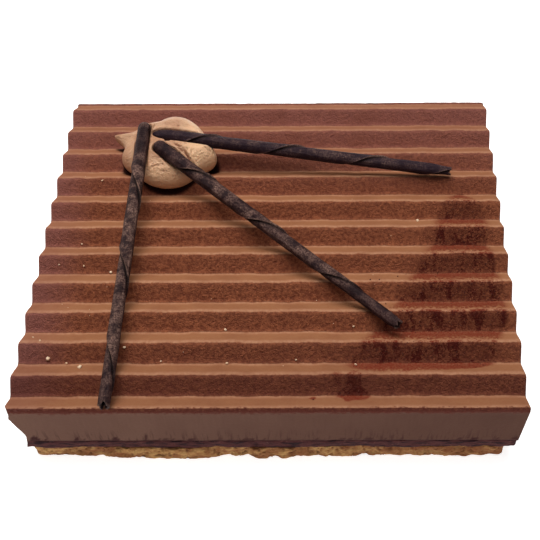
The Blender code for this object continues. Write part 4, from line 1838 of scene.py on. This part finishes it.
@dataclass
class Scatter:
    """Many small irregular bits joined into one mesh.

    Attributes:
        kind: what the bits are.
        material: their finish.
        slot: their material slot.
        rings: rings of points on a bit between its two poles.
        sides: points in each ring.
    """

    kind: CrumbKind
    material: bpy.types.Material
    slot: str
    rings: int = 3
    sides: int = 6

    def build(self, centres: Array, sizes: Array, flat: float, seed: int) -> bpy.types.Object:
        """Make the bits.

        Each bit is a ball whose points are moved in and out by a random share, squashed by
        its flatness and turned about Z by a random angle.

        Args:
            centres: middle of each bit, n x 3.
            sizes: radius of each bit.
            flat: height of a bit as a share of its width.
            seed: picks the shapes.

        Returns:
            The object.
        """
        random = np.random.default_rng(seed)
        count = len(centres)
        tilt = np.linspace(0.5, -0.5, self.rings + 2)[1:-1, None] * math.pi
        turn = np.linspace(0.0, 2.0 * math.pi, self.sides, endpoint=False)[None, :]
        ball = places(np.cos(tilt) * np.cos(turn), np.cos(tilt) * np.sin(turn), np.sin(tilt))
        ball = np.concatenate([[[0.0, 0.0, 1.0]], ball.reshape(-1, 3), [[0.0, 0.0, -1.0]]])
        uneven = random.uniform(0.62, 1.25, (count, len(ball), 1))
        bits = ball[None] * uneven
        stretch = random.uniform(0.75, 1.3, (count, 1, 3)) * np.array([1.0, 1.0, flat])
        bits = bits * stretch
        spin = random.uniform(0.0, 2.0 * math.pi, (count, 1))
        cos, sin = np.cos(spin), np.sin(spin)
        turned = np.stack([bits[..., 0] * cos - bits[..., 1] * sin,
                           bits[..., 0] * sin + bits[..., 1] * cos, bits[..., 2]], axis=-1)
        points = turned * np.asarray(sizes)[:, None, None] + centres[:, None, :]
        faces = self.ball_faces()
        every = faces[None] + (np.arange(count) * len(ball))[:, None, None]
        mesh = bpy.data.meshes.new(self.kind.value)
        mesh.from_pydata(points.reshape(-1, 3).tolist(), [], every.reshape(-1, 3).tolist())
        mesh.shade_smooth()
        piece = bpy.data.objects.new(self.kind.value, mesh)
        bpy.context.collection.objects.link(piece)
        mesh.materials.append(self.material)
        place_piece(piece, self.slot)
        return piece

    def ball_faces(self) -> Array:
        """Triangles of one bit: a fan at each pole and two triangles in each field between."""
        ring = 1 + np.arange(self.rings * self.sides).reshape(self.rings, self.sides)
        after = np.roll(ring, -1, axis=1)
        last = 1 + self.rings * self.sides
        top = np.stack([np.zeros(self.sides, int), ring[0], after[0]], axis=-1)
        bottom = np.stack([np.full(self.sides, last), after[-1], ring[-1]], axis=-1)
        first = np.stack([ring[:-1], ring[1:], after[1:]], axis=-1).reshape(-1, 3)
        second = np.stack([ring[:-1], after[1:], after[:-1]], axis=-1).reshape(-1, 3)
        return np.concatenate([top, first, second, bottom])


@dataclass
class LooseBits:
    """The pale specks, the cocoa grains and the biscuit crumbs, each as one piece.

    Attributes:
        block: the ridges that they lie on.
        powder: where the cocoa grains lie.
        base: the biscuit whose edge the crumbs stick to.
        specks: X, Y and radius of the larger pale specks.
        grains: X and Y of the single cocoa grains.
        tiny: how many tiny pale specks are added at random places.
        tries: how many random places are tried for cocoa grains.
        crumbs: how many biscuit crumbs there are.
    """

    block: RidgedBlock
    powder: PowderPatch
    base: Biscuit
    specks: tuple[tuple[float, float, float], ...] = (
        (-0.0218, -0.0528, 0.0007), (-0.0204, -0.0706, 0.0009), (-0.0663, -0.0647, 0.0008),
        (-0.0857, -0.0734, 0.0010), (-0.0924, -0.0703, 0.0006), (-0.1007, -0.0687, 0.0012),
        (-0.1046, -0.0614, 0.0006), (-0.1087, -0.0582, 0.0005), (-0.0501, -0.0694, 0.0005),
        (-0.0784, -0.0199, 0.0008), (-0.0914, -0.0174, 0.0006), (-0.1033, -0.0168, 0.0005),
        (-0.0947, -0.0027, 0.0005), (-0.0886, 0.0353, 0.0006), (0.0716, 0.0118, 0.0008),
        (0.0371, -0.0517, 0.0005), (0.0372, -0.0718, 0.0007), (0.0106, -0.0691, 0.0005))
    grains: tuple[tuple[float, float], ...] = (
        (0.0456, -0.0280), (0.0499, -0.0280), (0.0591, -0.0240), (0.0525, -0.0395),
        (0.0180, -0.0898))
    tiny: int = 24
    tries: int = 60000
    crumbs: int = 1500

    def on_top(self, flat: Array, sizes: Array, sink: float) -> Array:
        """Centres of bits that lie on the ridges, sunk in by a share of their size.

        Args:
            flat: X and Y of the bits.
            sizes: their radii.
            sink: share of the radius that is sunk in.

        Returns:
            The centres, n x 3.
        """
        z = self.block.height(flat[:, 0], flat[:, 1]) + sizes * (1.0 - sink)
        return np.column_stack([flat, z])

    def along_base(self, count: int, seed: int) -> tuple[Array, Array]:
        """Crumbs stuck to the biscuit's edge at random places.

        Args:
            count: how many there are.
            seed: picks the places.

        Returns:
            The crumbs' centres and sizes.
        """
        random = np.random.default_rng(seed)
        outline, outward = self.base.outline()
        picked = random.integers(0, len(outline), count)
        sizes = random.uniform(0.00018, 0.00055, count) * random.uniform(0.6, 1.0, count)
        flat = outline[picked] + np.array([0.0, self.block.middle])
        flat[:, 0] += self.block.lean * (flat[:, 1] - self.block.middle)
        z = random.uniform(1.7 * sizes, 0.0090)
        share = (z - self.base.low) / (self.base.high - self.base.low)
        out, _ = self.base.out(np.column_stack([flat, z]), share)
        flat = flat + outward[picked] * (out - 0.25 * sizes)[:, None]
        reach = 0.0976 - 1.6 * sizes
        flat[:, 1] = np.clip(flat[:, 1], -reach, reach)
        return np.column_stack([flat, z]), sizes

    def build(self, kit: Kit, biscuit: bpy.types.Material) -> list[bpy.types.Object]:
        """Build the three pieces; the crumbs share the biscuit's material.

        Args:
            kit: the shared shader groups.
            biscuit: the biscuit's finish.

        Returns:
            The three pieces.
        """
        random = np.random.default_rng(40)
        known = np.array(self.specks)
        pale = GrainFinish("pale crumb", rgb(214, 176, 140), rgb(238, 214, 184)).material(kit)
        spots = self.on_top(known[:, :2], 0.85 * known[:, 2], 0.45)
        extra = np.column_stack([random.uniform(-0.108, 0.105, self.tiny),
                                 random.uniform(self.block.front + 0.003, 0.094, self.tiny)])
        small = random.uniform(0.00012, 0.00022, self.tiny)
        spots = np.concatenate([spots, self.on_top(extra, small, 0.5)])
        sizes = np.concatenate([0.85 * known[:, 2], small])
        pieces = [Scatter(CrumbKind.PALE, pale, "biscuit", 4, 7).build(spots, sizes, 0.65, 41)]

        cocoa = GrainFinish("cocoa powder", rgb(96, 44, 34), rgb(70, 30, 26), 0.9).material(kit)
        tries = np.column_stack([random.uniform(0.020, 0.110, self.tries),
                                 random.uniform(-0.092, 0.032, self.tries)])
        cover = self.powder.cover(tries[:, 0], tries[:, 1])
        lit = self.block.slope(tries[:, 1]) > 0.0
        chance = np.where(lit, 0.02, 0.12) * cover
        kept = tries[random.uniform(0.0, 1.0, len(tries)) < chance]
        loose = np.array(self.grains)
        sizes = np.concatenate([random.uniform(0.00010, 0.00026, len(kept)),
                                np.full(len(loose), 0.0004)])
        spots = self.on_top(np.concatenate([kept, loose]), sizes, 0.35)
        pieces.append(Scatter(CrumbKind.COCOA, cocoa, "velvet_mousse", 2, 5)
                      .build(spots, sizes, 0.8, 42))
        spots, sizes = self.along_base(self.crumbs, 43)
        pieces.append(Scatter(CrumbKind.BISCUIT, biscuit, "biscuit", 3, 6)
                      .build(spots, sizes, 0.8, 44))
        return pieces


# ---------------------------------------------------------------- studio

@dataclass
class Studio:
    """Camera, floor and soft lights.

    Attributes:
        place: the camera's place.
        down: how far it looks down, in degrees.
        roll: its turn about its own axis, in degrees.
        yaw: its turn about Z, in degrees.
        focal: distance of the picture plane in pixels of a 540-pixel picture.
        shift: sideways shift of the picture, in pixels.
        picture: the picture's width, in pixels.
        lights: name, place, size, power and colour of each light.
    """

    place: tuple[float, float, float] = (0.01139, -0.27952, 0.39330)
    down: float = 53.474
    roll: float = -0.577
    yaw: float = 0.479
    focal: float = 910.0
    shift: float = 23.0
    picture: float = 540.0
    lights: tuple[tuple, ...] = (
        ("key", (-0.14, 0.32, 1.10), 0.95, 13.9, (1.0, 0.985, 0.96)),
        ("small key", (-0.16, 0.20, 1.12), 0.35, 1.2, (1.0, 0.985, 0.96)),
        ("front fill", (0.35, -1.1, 0.9), 0.9, 0.5, (1.0, 1.0, 1.0)))

    def camera(self) -> None:
        """Set up the camera."""
        down, roll, yaw = (math.radians(value) for value in (self.down, self.roll, self.yaw))
        right = Vector((math.cos(yaw), math.sin(yaw), 0.0))
        ahead = Vector((-math.sin(yaw), math.cos(yaw), 0.0))
        look = ahead * math.cos(down) - Vector((0.0, 0.0, math.sin(down)))
        up = ahead * math.sin(down) + Vector((0.0, 0.0, math.cos(down)))
        across = right * math.cos(roll) + up * math.sin(roll)
        above = up * math.cos(roll) - right * math.sin(roll)
        matrix = Matrix((across, above, -look)).transposed().to_4x4()
        matrix.translation = Vector(self.place)
        data = bpy.data.cameras.new("camera")
        data.sensor_width = 36.0
        data.lens = self.focal / self.picture * data.sensor_width
        data.shift_x = -self.shift / self.picture
        data.clip_start = 0.01
        camera = bpy.data.objects.new("camera", data)
        camera.matrix_world = matrix
        bpy.context.collection.objects.link(camera)
        bpy.context.scene.camera = camera

    def floor(self) -> None:
        """Lay a plain pale floor, slightly below the cake's underside."""
        mesh = bpy.data.meshes.new("floor")
        size, level = 4.0, -0.0002
        corners = [(-size, -size, level), (size, -size, level), (size, size, level),
                   (-size, size, level)]
        mesh.from_pydata(corners, [], [(0, 1, 2, 3)])
        floor = bpy.data.objects.new("floor", mesh)
        bpy.context.collection.objects.link(floor)
        material, nodes, shader = start_material("pale floor")
        join(nodes, shader, {}, {"Base Color": (0.86, 0.86, 0.86, 1.0), "Roughness": 0.9,
                                 "Specular IOR Level": 0.1,
                                 "Emission Color": (1.0, 1.0, 1.0, 1.0),
                                 "Emission Strength": 0.80})
        mesh.materials.append(material)

    def light(self, name: str, place: tuple[float, float, float], size: float,
              power: float, colour: Colour) -> None:
        """Add a square soft light that looks at the cake.

        Args:
            name: the light's name.
            place: its place.
            size: length of its side.
            power: its power in watts.
            colour: its colour.
        """
        data = bpy.data.lights.new(name, "AREA")
        data.size, data.energy, data.color = size, power, colour
        lamp = bpy.data.objects.new(name, data)
        lamp.location = place
        lamp.rotation_euler = (-Vector(place)).to_track_quat("-Z", "Y").to_euler()
        bpy.context.collection.objects.link(lamp)

    def build(self) -> None:
        """Set up everything that isn't the cake."""
        self.camera()
        self.floor()
        for light in self.lights:
            self.light(*light)
        world = bpy.data.worlds.new("studio")
        world.use_nodes = True
        back = world.node_tree.nodes["Background"]
        back.inputs["Color"].default_value = (0.95, 0.97, 1.0, 1.0)
        back.inputs["Strength"].default_value = 0.15
        bpy.context.scene.world = world
        bpy.context.scene.view_settings.view_transform = "Standard"


def main() -> None:
    """Build the cake and its studio."""
    logging.basicConfig(level=logging.INFO)
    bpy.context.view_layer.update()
    Studio().build()
    kit = Kit()
    block, powder = RidgedBlock(), PowderPatch()
    biscuit, base = BiscuitFinish().material(kit), Biscuit(block)
    base.build(biscuit)
    Praline(block).build(PralineFinish().material(kit))
    sticks = (
        Stick("chocolate_stick_left", (-0.0674, 0.0627, 0.0595), (-0.0709, -0.097695),
              (0.0035, 0.0027), 0.0478, 0.0397, 0.0040, 1.3, 101),
        Stick("chocolate_stick_middle", (-0.0609, 0.0480, 0.0595), (0.0581, -0.0570),
              (0.0038, 0.0026), 0.0462, 0.0302, 0.0040, 0.75, 102, 0.1, (0.008, 0.15)),
        Stick("chocolate_stick_top", (-0.0632, 0.0561, 0.0584), (0.0904, 0.0368),
              (0.0034, 0.0030), 0.0432, 0.0265, 0.0110, 0.4, 103, 0.8, (0.014, 0.34)),
    )
    chocolate = ChocolateFinish().material(kit)
    for stick in sticks:
        stick.build(chocolate)
    dollop = Dollop(block, sticks)
    dollop.build(kit)
    Mousse(block, powder, dollop.gap).build(kit)
    LooseBits(block, powder, base).build(kit, biscuit)


if __name__ == "__main__":
    main()
